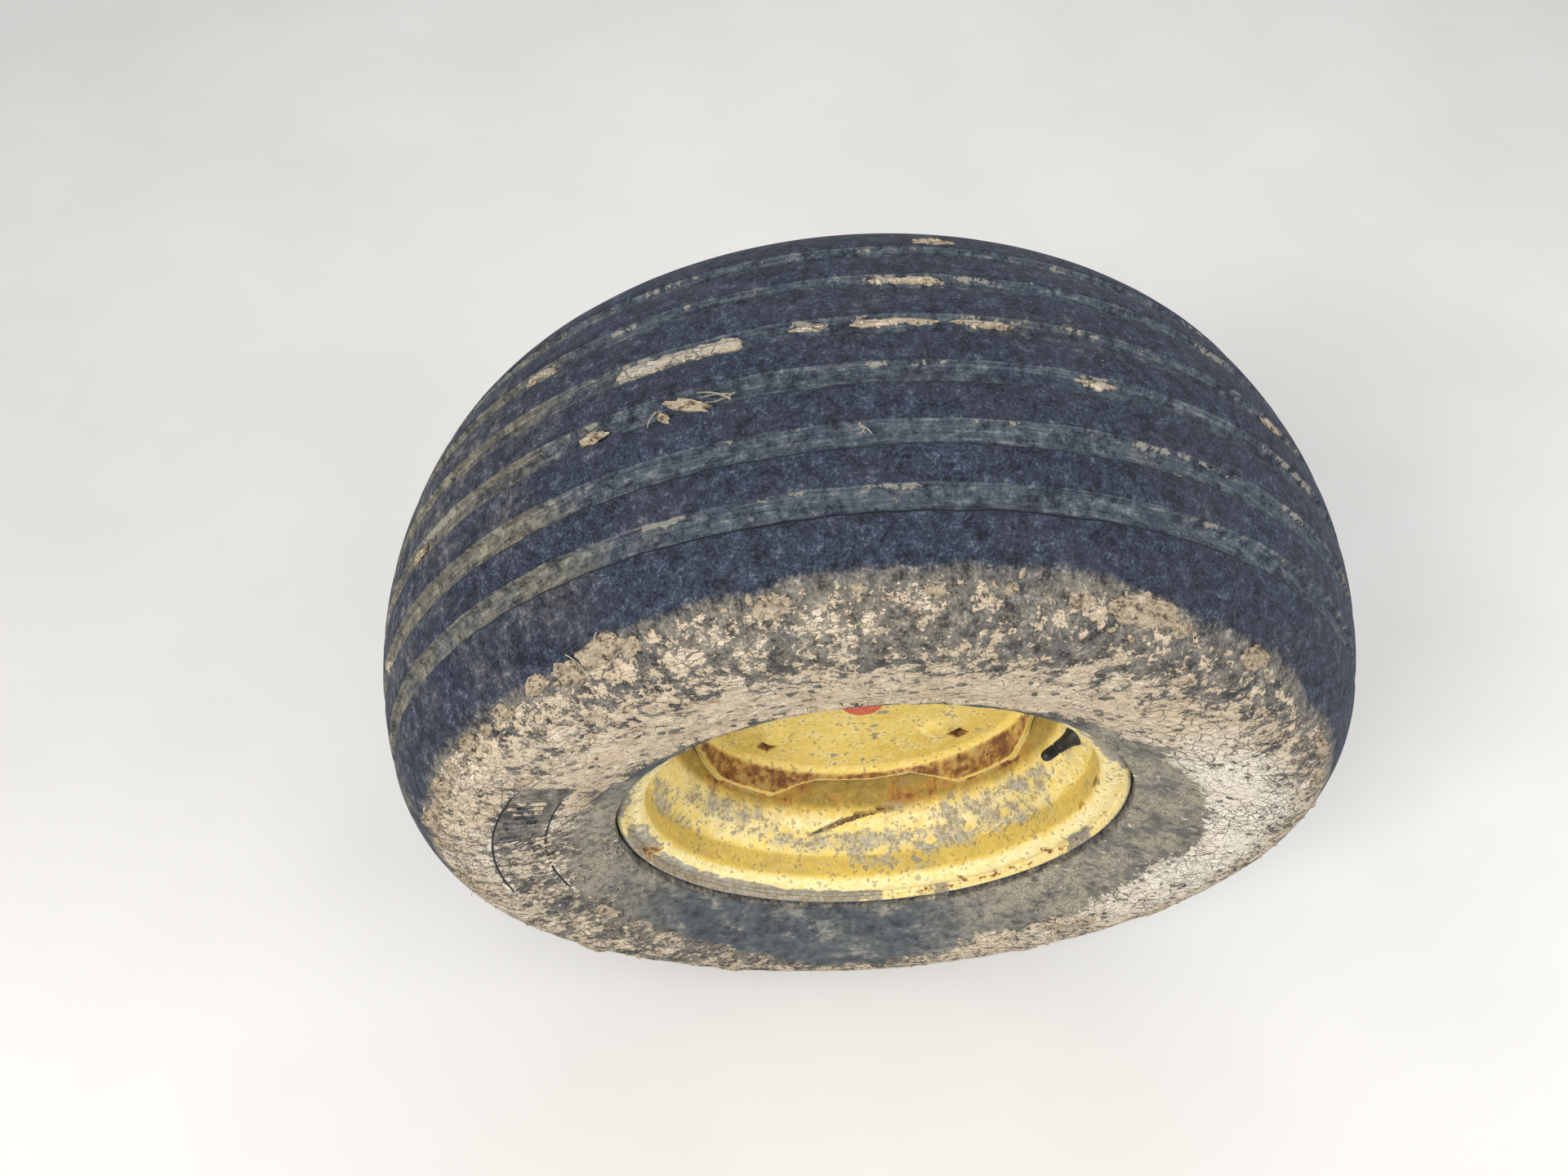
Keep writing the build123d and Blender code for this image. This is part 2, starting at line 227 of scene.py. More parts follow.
def pulled(bm, edges):
    """Pull a ring of edges out into a band: the new points and the new ring."""
    made = bmesh.ops.extrude_edge_only(bm, edges=edges)["geom"]
    fresh = [item for item in made if isinstance(item, bmesh.types.BMVert)]
    edges = [item for item in made if isinstance(item, bmesh.types.BMEdge)]
    return fresh, [edge for edge in edges if all(vert in fresh for vert in edge.verts)]


def polar(point):
    """Direction round the axle in degrees, radius, and place along the axle from the wheel's middle."""
    return degrees(atan2(point.z, point.x)), hypot(point.x, point.z), point.y - WHEEL_Y


def finished(name, bm, body, material, replaced=(), sharp=38):
    """Turn a mesh in millimetres into a piece that rides on a body."""
    bmesh.ops.scale(bm, vec=(MM, MM, MM), verts=bm.verts)
    mesh = bpy.data.meshes.new(name)
    bm.to_mesh(mesh)
    bm.free()
    mesh.polygons.foreach_set("use_smooth", [True] * len(mesh.polygons))
    mesh.set_sharp_from_angle(angle=radians(sharp))
    mesh.materials.append(material)
    piece = bpy.data.objects.new(name, mesh)
    bpy.context.scene.collection.objects.link(piece)
    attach(piece, body)
    if replaced:
        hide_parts(*replaced)
    return piece


# ---------------------------------------------------------------- finishes

TYRE_LAYERS = ("soil", "dust", "groove", "cracked")
WHEEL_LAYERS = ("bleached", "worn", "rusty", "shade_and_grime")


def tone(red, green, blue):
    """A colour from its screen values."""
    def linear(value):
        return ((value / 255 + 0.055) / 1.055) ** 2.4 if value > 10 else value / 255 / 12.92

    return linear(red), linear(green), linear(blue), 1.0


class Finish:
    """One procedural finish. Each method adds a node and gives the socket that it feeds."""

    def __init__(self, name, roughness=0.6, metallic=0.0, specular=0.5):
        self.material = bpy.data.materials.new(name)
        self.material.use_nodes = True
        self.nodes, self.links = self.material.node_tree.nodes, self.material.node_tree.links
        self.nodes.clear()
        self.shader = self.nodes.new("ShaderNodeBsdfPrincipled")
        end = self.nodes.new("ShaderNodeOutputMaterial")
        self.links.new(self.shader.outputs["BSDF"], end.inputs["Surface"])
        self.shader.inputs["Roughness"].default_value = roughness
        self.shader.inputs["Metallic"].default_value = metallic
        self.shader.inputs["Specular IOR Level"].default_value = specular
        self.place = self.nodes.new("ShaderNodeTexCoord").outputs["Object"]

    def give(self, socket, value):
        if isinstance(value, bpy.types.NodeSocket):
            self.links.new(value, socket)
        else:
            socket.default_value = value

    def sum(self, operation, first, *others):
        """One operation over values, taken from left to right."""
        for other in others or (0.0,):                  # an operation on one value makes its node as well
            node = self.nodes.new("ShaderNodeMath")
            node.operation = operation
            self.give(node.inputs[0], first)
            self.give(node.inputs[1], other)
            first = node.outputs[0]
        return first

    def add(self, *values):
        return self.sum("ADD", *values)

    def times(self, *values):
        return self.sum("MULTIPLY", *values)

    def below(self, value, limit):
        """1 where a value is less than the limit."""
        return self.sum("LESS_THAN", value, limit)

    def veins(self, value, width):
        """1 along the lines where a pattern crosses its middle."""
        return self.below(self.sum("ABSOLUTE", self.add(value, -0.5)), width)

    def blend(self, *parts):
        """Values added up, each with its weight."""
        return self.add(*(self.times(value, weight) for value, weight in parts))

    def swing(self, value, size=1.0):
        """A pattern from 0 to 1 moved to lie about 0, and made larger or smaller."""
        return self.times(self.add(value, -0.5), size)

    def grain(self, scale, detail=4.0, roughness=0.55, at=None, warp=0.0):
        node = self.nodes.new("ShaderNodeTexNoise")
        self.give(node.inputs["Vector"], at or self.place)
        for name, value in (("Scale", scale), ("Detail", detail), ("Roughness", roughness), ("Distortion", warp)):
            node.inputs[name].default_value = value
        return node.outputs["Fac"]

    def cells(self, scale, at=None, feature="DISTANCE_TO_EDGE"):
        node = self.nodes.new("ShaderNodeTexVoronoi")
        node.feature = feature
        self.give(node.inputs["Vector"], at or self.place)
        node.inputs["Scale"].default_value = scale
        return node.outputs["Distance"]

    def span(self, value, low, high, to_low=0.0, to_high=1.0):
        node = self.nodes.new("ShaderNodeMapRange")
        node.interpolation_type = "SMOOTHSTEP"
        self.give(node.inputs["Value"], value)
        for name, number in (("From Min", low), ("From Max", high), ("To Min", to_low), ("To Max", to_high)):
            node.inputs[name].default_value = number
        return node.outputs["Result"]

    def colours(self, value, *stops):
        node = self.nodes.new("ShaderNodeValToRGB")
        self.give(node.inputs["Fac"], value)
        ramp = node.color_ramp
        while len(ramp.elements) < len(stops):
            ramp.elements.new(0.5)
        for element, (place, colour) in zip(ramp.elements, stops):
            element.position, element.color = place, tone(*colour)
        return node.outputs["Color"]

    def over(self, cover, below, above):
        """One colour laid over another, where cover is 1."""
        node = self.nodes.new("ShaderNodeMix")
        node.data_type = "RGBA"
        self.give(node.inputs[0], cover)
        for socket, colour in ((node.inputs[6], below), (node.inputs[7], above)):
            self.give(socket, colour if isinstance(colour, bpy.types.NodeSocket) else tone(*colour))
        return node.outputs[2]

    def painted(self, name):
        node = self.nodes.new("ShaderNodeAttribute")
        node.attribute_name = name
        return node.outputs["Fac"]

    def pushed(self, amount, scale, at=None):
        """The place, pushed about by soft noise, so that patterns read there lose their straight lines."""
        node = self.nodes.new("ShaderNodeTexNoise")
        self.give(node.inputs["Vector"], at or self.place)
        node.inputs["Scale"].default_value, node.inputs["Detail"].default_value = scale, 3.0
        push = self.nodes.new("ShaderNodeVectorMath")
        push.operation = "MULTIPLY_ADD"
        self.give(push.inputs[0], node.outputs["Color"])
        push.inputs[1].default_value = (amount,) * 3
        self.give(push.inputs[2], at or self.place)
        return push.outputs[0]

    def round_axle(self, turns, along):
        """A place made of the direction round the axle and the distance across it.

        Noise read there runs in rings or in rays, with no seam.
        """
        parts = self.nodes.new("ShaderNodeSeparateXYZ")
        self.give(parts.inputs[0], self.place)
        x, y, z = parts.outputs
        radius = self.sum("SQRT", self.add(self.times(x, x), self.times(z, z)))
        join = self.nodes.new("ShaderNodeCombineXYZ")
        self.give(join.inputs[0], self.times(self.sum("DIVIDE", x, radius), turns))
        self.give(join.inputs[1], self.times(self.add(y, radius), along))
        self.give(join.inputs[2], self.times(self.sum("DIVIDE", z, radius), turns))
        return join.outputs[0]

    def done(self, colour, height=None, roughness=None):
        """Wire the colour, the height of the relief in millimetres and the roughness."""
        self.give(self.shader.inputs["Base Color"], colour)
        if height is not None:
            bump = self.nodes.new("ShaderNodeBump")
            bump.inputs["Distance"].default_value = MM
            self.give(bump.inputs["Height"], height)
            self.links.new(bump.outputs["Normal"], self.shader.inputs["Normal"])
        if roughness is not None:
            self.give(self.shader.inputs["Roughness"], roughness)
        return self.material


def muddy_rubber():
    """Weathered tyre rubber: blue-grey ribs, dusty grooves, and a skin of dried mud that cracks and flakes."""
    f = Finish("muddy_rubber", roughness=0.85, specular=0.25)
    soil, dust, groove, cracked = (f.painted(name) for name in TYRE_LAYERS)
    rings, rays = f.round_axle(9.0, 420.0), f.round_axle(190.0, 48.0)
    fine, patchy, broad = f.grain(520, 4, 0.7), f.grain(120, 6, 0.68), f.grain(22, 4, 0.58)
    streaks, feathers = f.grain(1.0, 4, 0.66, rings), f.grain(1.0, 4, 0.6, rays)
    strokes = f.grain(1.0, 3, 0.6, f.round_axle(40.0, 260.0))
    cloudy = f.grain(58, 5, 0.66, f.pushed(0.012, 60))
    mottle = f.blend((fine, 0.46), (patchy, 0.36), (cloudy, 0.12), (strokes, 0.06))
    rubber = f.colours(
        mottle, (0.41, (16, 19, 28)), (0.46, (29, 35, 47)), (0.51, (41, 49, 65)), (0.56, (60, 69, 86)),
        (0.61, (96, 104, 118)),
    )
    rubber = f.over(f.span(broad, 0.42, 0.62, 0.05, 0.3), rubber, (54, 52, 62))
    pits = f.span(f.blend((fine, 0.9), (cloudy, 0.7), (patchy, 0.6)), 0.98, 0.9)
    rubber = f.over(f.times(pits, 0.75), rubber, (22, 25, 33))
    # Thin dust lies on the shoulder and the sidewall and ends in fine feathers towards the tread
    feathery = f.times(f.add(feathers, -0.5), f.span(dust, 0.3, 0.5), f.span(dust, 0.55, 0.72, 0.8, 0.1))
    film = f.span(f.add(dust, feathery, f.swing(patchy, 0.8), f.swing(broad, 0.7), f.swing(fine, 0.2)), 0.25, 0.98)
    dusty = f.colours(
        f.blend((fine, 0.35), (patchy, 0.4), (cloudy, 0.25)), (0.40, (78, 74, 66)), (0.47, (108, 103, 93)),
        (0.54, (134, 128, 115)), (0.61, (182, 172, 154)),
    )
    # Near the rim the rubber is bare and dark, with soft smears of dust and a few cracks that run in rings
    smears = f.grain(1.0, 5, 0.7, f.pushed(0.5, 1.4, f.round_axle(6.0, 42.0)))
    bare = f.colours(
        f.blend((smears, 0.55), (cloudy, 0.3), (patchy, 0.15)), (0.40, (62, 68, 74)), (0.48, (79, 85, 90)),
        (0.54, (98, 101, 102)), (0.60, (142, 140, 132)),
    )
    splits = f.veins(f.grain(1.0, 4, 0.7, f.round_axle(7.0, 90.0)), f.span(f.grain(16, 2), 0.5, 0.7, 0.0, 0.014))
    smeared = f.span(f.blend((smears, 0.5), (patchy, 0.5)), 0.42, 0.56, 0.35, 1.0)
    haze = f.times(f.span(cracked, 0.35, 0.7, 0.0, 0.85), smeared)
    bare = f.over(haze, bare, (178, 169, 148))
    bare = f.over(f.times(f.below(f.cells(300, f.pushed(0.003, 300)), 0.07), haze, 0.7), bare, (66, 62, 55))
    bare = f.over(f.times(splits, 0.8), bare, (38, 38, 38))
    dusty = f.over(f.span(dust, 0.74, 0.83), dusty, bare)
    hazed = f.over(f.times(film, 0.96), rubber, dusty)
    silty = f.blend((streaks, 0.25), (fine, 0.2), (patchy, 0.35), (strokes, 0.2))
    silt = f.colours(
        silty, (0.40, (34, 40, 50)), (0.46, (58, 67, 78)), (0.53, (84, 93, 102)), (0.60, (134, 136, 132)),
    )
    warm = f.colours(
        silty, (0.40, (62, 61, 54)), (0.47, (100, 97, 84)), (0.53, (130, 125, 107)), (0.60, (166, 158, 136)),
    )
    silt = f.over(f.span(f.add(dust, f.swing(broad, 0.3)), 0.2, 0.36, 0.0, 0.85), silt, warm)
    settled = f.span(f.add(cloudy, f.times(patchy, 0.8)), 0.75, 0.95, 0.6, 0.92)
    silt_and_shadow = f.over(f.times(f.span(groove, 0.25, 0.9), settled), hazed, silt)
    # Painted shadow: the groove's outboard edge gets a dark line of painted shade, and pale crumbs sit along the
    # other edge
    silt_and_shadow = f.over(f.span(f.add(groove, f.swing(strokes, 1.2)), -0.3, -0.9, 0.0, 0.9), silt_and_shadow, (18, 20, 26))
    crumbs = f.span(f.add(groove, f.swing(patchy, 2.6), f.swing(fine, 1.2), f.swing(broad, 3.0)), 1.5, 1.7)
    silt_and_shadow = f.over(f.times(crumbs, 0.8), silt_and_shadow, (146, 143, 134))
    # The mud's edge is flaky; drops have washed small round holes in it
    spots = f.grain(142, 6, 0.68, f.pushed(0.008, 90))
    flake = f.add(f.swing(spots, 1.5), f.swing(cloudy, 0.8), f.swing(broad, 0.35), f.swing(fine, 0.3))
    holes = f.span(f.add(f.cells(88, f.pushed(0.010, 110), "F1"), f.times(f.grain(34, 2), 0.9)), 0.66, 0.59)
    lie = f.add(soil, flake, f.times(holes, -0.6), f.swing(feathers, 0.15))
    mud = f.span(lie, 0.485, 0.52)
    grains = f.blend((patchy, 0.4), (fine, 0.3), (broad, 0.3))
    tan = f.colours(
        grains, (0.38, (168, 148, 121)), (0.45, (206, 187, 160)), (0.54, (224, 207, 182)), (0.62, (240, 228, 208))
    )
    ashen = f.colours(
        grains, (0.38, (206, 196, 180)), (0.45, (230, 221, 205)), (0.54, (243, 235, 220)), (0.62, (250, 244, 233))
    )
    clay = f.over(f.span(f.add(cracked, f.swing(broad, 0.6)), 0.58, 1.0), tan, ashen)
    plates = f.cells(108, f.pushed(0.007, 170))
    shards = f.cells(1.0, f.pushed(0.4, 1.1, f.round_axle(26.0, 125.0)))
    crack_width = f.span(f.grain(30, 3), 0.35, 0.7, 0.02, 0.1)
    round_plates = f.below(plates, f.times(crack_width, f.span(cracked, 0.5, 1.0, 0.0, 0.35)))
    round_shards = f.below(shards, f.times(crack_width, f.span(cracked, 0.2, 0.7, 0.2, 0.5)))
    hairs = f.veins(f.grain(1.0, 5, 0.7, f.round_axle(26.0, 330.0)), f.span(f.grain(22, 2), 0.42, 0.66, 0.0, 0.012))
    crack = f.sum("MAXIMUM", round_plates, round_shards, hairs)
    cracked_clay = f.over(f.times(crack, 0.85), clay, (78, 70, 60))
    thick = f.span(lie, 0.485, 0.8)
    cracked_clay = f.over(f.span(groove, 1.9, 2.4, 0.0, 0.5), cracked_clay, (118, 112, 104))
    colour = f.over(f.times(mud, f.span(lie, 0.5, 0.7, 0.84, 0.98)), silt_and_shadow, cracked_clay)
    split = f.span(cracked, 2.4, 2.6)
    colour = f.over(f.times(split, 0.94), colour, (24, 22, 21))
    specks = f.below(f.cells(170, f.pushed(0.004, 300), "F1"), f.span(f.grain(26, 2), 0.58, 0.82, 0.0, 0.14))
    colour = f.over(f.times(specks, 0.7), colour, (176, 175, 170))
    height = f.blend(
        (mud, 0.5), (thick, 0.5), (f.times(mud, crack), -1.0), (f.times(mud, fine), 0.4), (pits, -0.3), (fine, 0.3),
        (patchy, 0.5), (cloudy, 0.5), (f.times(f.span(groove, 0.1, 0.8), streaks), 0.8), (crumbs, 0.6), (split, -1.6),
        (f.times(splits, f.span(dust, 0.74, 0.83)), -0.8),
    )
    return f.done(colour, height, f.span(mud, 0.0, 1.0, 0.78, 0.95))


def caked_mud():
    """Thick dried clods, crumbly, with dark pores."""
    f = Finish("caked_mud", roughness=0.95, specular=0.15)
    fine, lumpy = f.grain(520, 5, 0.72), f.grain(150, 6, 0.7)
    crumbs = f.grain(1.0, 4, 0.6, f.pushed(0.5, 3.0, f.round_axle(60.0, 320.0)))
    pores = f.span(f.blend((fine, 0.5), (lumpy, 0.8)), 0.6, 0.5)
    clay = f.colours(
        f.blend((fine, 0.35), (lumpy, 0.35), (crumbs, 0.3)), (0.37, (116, 104, 88)), (0.46, (158, 143, 122)),
        (0.54, (189, 173, 150)), (0.64, (216, 203, 181)),
    )
    colour = f.over(f.times(pores, 0.75), clay, (84, 72, 58))
    return f.done(colour, f.blend((fine, 0.9), (lumpy, 2.4), (crumbs, 1.0), (pores, -0.8)))


def straw():
    """Dry straw, greyed by dust."""
    f = Finish("straw", roughness=0.7, specular=0.3)
    colour = f.colours(f.grain(260, 4, 0.6), (0.35, (128, 119, 100)), (0.65, (176, 168, 150)))
    return f.done(colour, f.times(f.grain(900, 2), 0.1))


def worn_yellow():
    """Old yellow paint: bleached where water stands, scuffed to grey, chipped, and rusty in its corners, and darkened
    by painted shade.
    """
    f = Finish("worn_yellow", roughness=0.5, specular=0.35)
    bleached, worn, rusty, shade_and_grime = (f.painted(name) for name in WHEEL_LAYERS)
    fine, patchy, broad = f.grain(800, 4, 0.68), f.grain(110, 6, 0.7), f.grain(24, 4, 0.6)
    speckle = f.grain(360, 5, 0.72, warp=0.6)
    streaks = f.grain(1.0, 5, 0.62, f.round_axle(16.0, 260.0))
    paint = f.colours(
        f.blend((patchy, 0.45), (broad, 0.4), (fine, 0.15)), (0.36, (204, 178, 84)), (0.48, (228, 202, 106)),
        (0.6, (238, 216, 132)),
    )
    pale = f.colours(
        f.blend((patchy, 0.5), (fine, 0.3), (streaks, 0.2)), (0.38, (216, 200, 136)), (0.5, (238, 222, 162)),
        (0.62, (246, 234, 190)),
    )
    colour = f.over(f.span(f.add(bleached, f.swing(patchy, 0.9), f.swing(streaks, 0.6)), 0.2, 0.85), paint, pale)
    # Painted shade, and dirt in damp places, make the paint dull and brownish
    mottle = f.blend((patchy, 0.6), (fine, 0.4))
    dull = f.colours(mottle, (0.38, (84, 68, 38)), (0.5, (128, 107, 60)), (0.62, (166, 142, 80)))
    colour = f.over(f.times(f.span(f.add(shade_and_grime, f.swing(broad, 0.8)), 0.1, 0.9), 0.8), colour, dull)
    # Nearly black: painted shade on the disc's back, in its holes and inside the rim behind it, and grime in the long
    # scratch
    dark_shade_and_grime = f.span(f.add(shade_and_grime, f.swing(broad, 0.6), f.swing(patchy, 0.5)), 1.15, 1.75, 0.0, 0.92)
    colour = f.over(dark_shade_and_grime, colour, f.colours(mottle, (0.38, (38, 32, 25)), (0.62, (74, 62, 46))))
    # Scuffs: grey primer and film through the paint, as fine speckles that close up into patches
    worms = f.span(f.sum("ABSOLUTE", f.add(f.grain(210, 3, 0.6, warp=1.4), -0.5)), 0.0, 0.09, 0.12, -0.1)
    ragged = f.add(f.swing(speckle, 0.75), f.swing(patchy, 1.3), f.swing(fine, 0.3), worms)
    rubbed = f.span(f.add(worn, f.swing(patchy, 0.8), f.swing(broad, 0.5)), 0.28, 0.62, 0.0, 0.55)
    colour = f.over(rubbed, colour, (182, 172, 138))
    scuff = f.span(f.add(worn, ragged), 0.5, 0.57)
    grey = f.colours(
        f.blend((fine, 0.4), (streaks, 0.4), (broad, 0.2)), (0.38, (122, 120, 120)), (0.5, (154, 151, 148)),
        (0.62, (182, 178, 172)),
    )
    colour = f.over(f.times(scuff, 0.85), colour, grey)
    # Chips and flecks everywhere
    chip = f.below(f.cells(58, f.pushed(0.02, 110), "F1"), f.span(f.grain(31, 3), 0.5, 0.72, 0.0, 0.3))
    fleck_size = f.span(f.add(patchy, f.times(worn, 0.25)), 0.44, 0.68, 0.0, 0.46)
    flecks = f.below(f.cells(210, f.pushed(0.006, 260), "F1"), fleck_size)
    colour = f.over(f.times(flecks, 0.62), colour, (140, 122, 76))
    colour = f.over(f.times(chip, 0.9), colour, f.colours(fine, (0.38, (116, 112, 94)), (0.62, (164, 162, 152))))
    # Rust: a broad stain, speckled, with a dark brown heart
    uneven = f.add(f.swing(patchy, 1.2), f.swing(speckle, 0.9), f.swing(streaks, 0.4))
    stain = f.span(f.add(rusty, f.times(uneven, 0.8)), 0.16, 0.6)
    heart = f.span(f.add(rusty, uneven), 0.42, 0.86)
    orange = f.colours(
        f.blend((speckle, 0.5), (patchy, 0.5)), (0.38, (128, 82, 42)), (0.5, (186, 130, 64)), (0.62, (218, 170, 92)),
    )
    brown = f.colours(
        f.blend((fine, 0.4), (speckle, 0.6)), (0.38, (54, 38, 32)), (0.47, (88, 58, 42)), (0.55, (122, 80, 48)),
        (0.66, (168, 118, 66)),
    )
    colour = f.over(f.times(heart, 0.92), f.over(f.times(stain, 0.72), colour, orange), brown)
    height = f.blend(
        (chip, -0.2), (scuff, -0.1), (flecks, -0.1), (f.times(heart, speckle), 0.8), (fine, 0.06), (broad, 0.6),
    )
    return f.done(colour, height, f.add(f.blend((heart, 0.35), (scuff, 0.1)), 0.46))


def worn_red():
    """Sun-bleached red paint over steel, chipped along its edges, with rust and dust."""
    f = Finish("worn_red", roughness=0.55, specular=0.35)
    fine, patchy, broad = f.grain(520, 4, 0.65), f.grain(70, 6, 0.66), f.grain(12, 4, 0.6)
    edge = f.nodes.new("ShaderNodeNewGeometry").outputs["Pointiness"]
    colour = f.colours(
        f.blend((patchy, 0.4), (broad, 0.6)), (0.36, (150, 44, 32)), (0.5, (188, 66, 46)), (0.64, (212, 104, 78))
    )
    grime = f.span(f.add(broad, f.times(patchy, 0.5)), 0.72, 0.95)
    colour = f.over(f.times(grime, 0.5), colour, (116, 84, 66))
    lie = f.add(f.swing(patchy, 1.6), f.swing(fine, 0.5), f.span(edge, 0.52, 0.6, 0.0, 0.5))
    rust = f.span(lie, 0.36, 0.44)
    halo = f.span(lie, 0.24, 0.4)
    colour = f.over(f.times(halo, 0.6), colour, (120, 48, 34))
    colour = f.over(rust, colour, f.colours(fine, (0.35, (62, 38, 28)), (0.5, (104, 62, 40)), (0.66, (150, 96, 56))))
    height = f.blend((f.times(rust, fine), 0.5), (rust, -0.12), (fine, 0.06), (patchy, 0.1))
    return f.done(colour, height, f.add(f.times(rust, 0.3), 0.5))


def faded_red():
    """The hub's dust cap: chalky red with scuffs."""
    f = Finish("faded_red", roughness=0.6, specular=0.35)
    fine, patchy = f.grain(700, 4, 0.65), f.grain(150, 6, 0.66)
    colour = f.colours(
        f.blend((fine, 0.4), (patchy, 0.6)), (0.36, (160, 62, 48)), (0.5, (200, 92, 72)), (0.64, (222, 128, 104))
    )
    scuff = f.span(f.add(patchy, f.swing(fine, 0.4)), 0.6, 0.66)
    colour = f.over(f.times(scuff, 0.8), colour, (120, 110, 100))
    return f.done(colour, f.blend((fine, 0.08), (scuff, -0.1), (patchy, 0.2)))


def rusty_steel(name, low, middle, high, shine):
    """Bare steel that has browned outdoors."""
    f = Finish(name, roughness=0.6, metallic=shine, specular=0.5)
    fine, patchy = f.grain(640, 4, 0.65), f.grain(80, 6, 0.62)
    turning = f.grain(1.0, 3, 0.5, f.round_axle(4.0, 900.0))
    colour = f.colours(f.blend((fine, 0.3), (patchy, 0.5), (turning, 0.2)), (0.36, low), (0.5, middle), (0.66, high))
    return f.done(colour, f.blend((fine, 0.2), (patchy, 0.25), (turning, 0.1)), f.span(patchy, 0.3, 0.7, 0.42, 0.8))


def black_moulding(name, low, high, roughness):
    """Moulded black rubber or plastic, greyed by dust."""
    f = Finish(name, roughness=roughness, specular=0.4)
    fine, patchy = f.grain(900, 4, 0.6), f.grain(160, 5, 0.65)
    colour = f.colours(f.blend((fine, 0.4), (patchy, 0.6)), (0.4, low), (0.66, high))
    return f.done(colour, f.blend((fine, 0.06), (patchy, 0.12)))


RUBBER = muddy_rubber()
MUD = caked_mud()
STRAW = straw()
YELLOW = worn_yellow()
RED = worn_red()
CAP_RED = faded_red()
STEEL = rusty_steel("browned_steel", (70, 58, 50), (112, 98, 86), (150, 138, 124), 0.55)
WELD_RUST = rusty_steel("rusty_weld", (64, 42, 30), (108, 70, 44), (158, 112, 66), 0.15)
VALVE_RUBBER = black_moulding("valve_rubber", (24, 25, 28), (58, 58, 60), 0.55)
VALVE_PLASTIC = black_moulding("valve_plastic", (20, 20, 23), (46, 46, 50), 0.4)
SEAL_RUBBER = black_moulding("seal_rubber", (26, 26, 28), (70, 64, 58), 0.7)


# ---------------------------------------------------------------- tyre

def meet(a, reach_a, b, reach_b, side):
    """The point at one distance from a and another from b, on the given side of the line a-b."""
    gap = hypot(b[0] - a[0], b[1] - a[1])
    along = (gap * gap + reach_a * reach_a - reach_b * reach_b) / (2 * gap)
    off = side * sqrt(reach_a * reach_a - along * along)
    ux, uy = (b[0] - a[0]) / gap, (b[1] - a[1]) / gap
    return a[0] + ux * along - uy * off, a[1] + uy * along + ux * off


def heading(centre, point):
    """The direction from an arc's centre to a point of the section."""
    return atan2(point[1] - centre[1], point[0] - centre[0])


def tyre_arcs():
    """The arcs of the tyre's section from the crown to the bead: centre, radius, first and last direction."""
    crown = (CROWN_R - CROWN_ARC, 0.0)
    bulge = (WIDEST_R, TYRE_HALF_WIDTH - BULGE_ARC)
    shoulder = meet(crown, CROWN_ARC - SHOULDER_ARC, bulge, SHOULDER_ARC - BULGE_ARC, -1)
    foot = (FLANGE_R + BEAD_STEP, LIP_EDGE)
    sidewall = meet(bulge, SIDEWALL_ARC - BULGE_ARC, foot, SIDEWALL_ARC, 1)
    to_shoulder, to_bulge, to_sidewall = heading(crown, shoulder), heading(shoulder, bulge), heading(sidewall, bulge)
    return [
        (crown, CROWN_ARC, 0.0, to_shoulder),
        (shoulder, SHOULDER_ARC, to_shoulder, to_bulge),
        (bulge, BULGE_ARC, to_bulge, to_sidewall),
        (sidewall, SIDEWALL_ARC, to_sidewall, heading(sidewall, foot)),
    ]


ARCS = tyre_arcs()
HALF_SECTION = sum(radius * (last - first) for _, radius, first, last in ARCS)


def tyre_line(across, height=0.0):
    """Radius and place along the axle at a distance across the tyre's surface, raised by a height.

    The distance starts at the crown's middle and is positive on the outboard side.
    """
    side = 1.0 if across >= 0 else -1.0
    left = abs(across)
    for centre, radius, first, last in ARCS:
        length = radius * (last - first)
        if left <= length or centre is ARCS[-1][0]:
            turn = first + left / radius
            return centre[0] + (radius + height) * cos(turn), -side * (centre[1] + (radius + height) * sin(turn))
        left -= length


def on_tyre(angle, across, height=0.0):
    """A point on the tyre from the direction, the distance across its surface and the height above it."""
    return round_wheel(angle, *tyre_line(across, height))


def across_where(is_before, high):
    """The distance across the tyre up to which a test holds, found by halving."""
    low = 0.0
    for _ in range(30):
        middle = (low + high) / 2
        low, high = (middle, high) if is_before(middle) else (low, middle)
    return low


def across_at(along):
    """The distance across the outboard shoulder at a place along the axle."""
    return across_where(lambda across: -tyre_line(across)[1] < along, HALF_SECTION * 0.72)


def across_from_radius(radius):
    """The distance across the outboard sidewall at a radius."""
    return across_where(lambda across: tyre_line(across)[0] > radius, HALF_SECTION)


# Round the outboard sidewall: direction, radius out to which the rubber is bare, mud of the sidewall,
# mud of the shoulder, cracks
SOIL_ROUND = (
    (5, 268, 1.10, 0.52, 1.0), (32, 246, 1.00, 0.48, 0.9), (58, 222, 0.76, 0.46, 0.4), (90, 212, 0.78, 0.42, 0.1),
    (128, 214, 0.74, 0.54, 0.2), (152, 226, 0.66, 0.62, 0.5), (172, 240, 0.54, 0.58, 0.75),
    (202, 256, 0.48, 0.58, 0.6), (232, 262, 0.42, 0.54, 0.35), (272, 300, 0.36, 0.56, 0.3),
    (304, 268, 0.66, 0.62, 0.6), (338, 266, 0.96, 0.57, 0.9),
)
# Where the mud of the shoulder begins: direction, place along the axle
MUD_EDGE = (
    (39, 157), (59, 152), (76, 141), (94, 142), (115, 149), (132, 155), (151, 154), (180, 160), (225, 157),
    (270, 152), (315, 158), (0, 160),
)


@lru_cache(maxsize=None)
def round_table(table, angle):
    """Values between the two nearest directions of a table, eased."""
    rows = sorted((row[0] % 360, row[1:]) for row in table)
    angle %= 360
    after = next((number for number, row in enumerate(rows) if row[0] > angle), 0)
    (start, low), (end, high) = rows[after - 1], rows[after]
    part = share((angle - start) % 360, 0, (end - start) % 360)
    return [a + (b - a) * part for a, b in zip(low, high)]


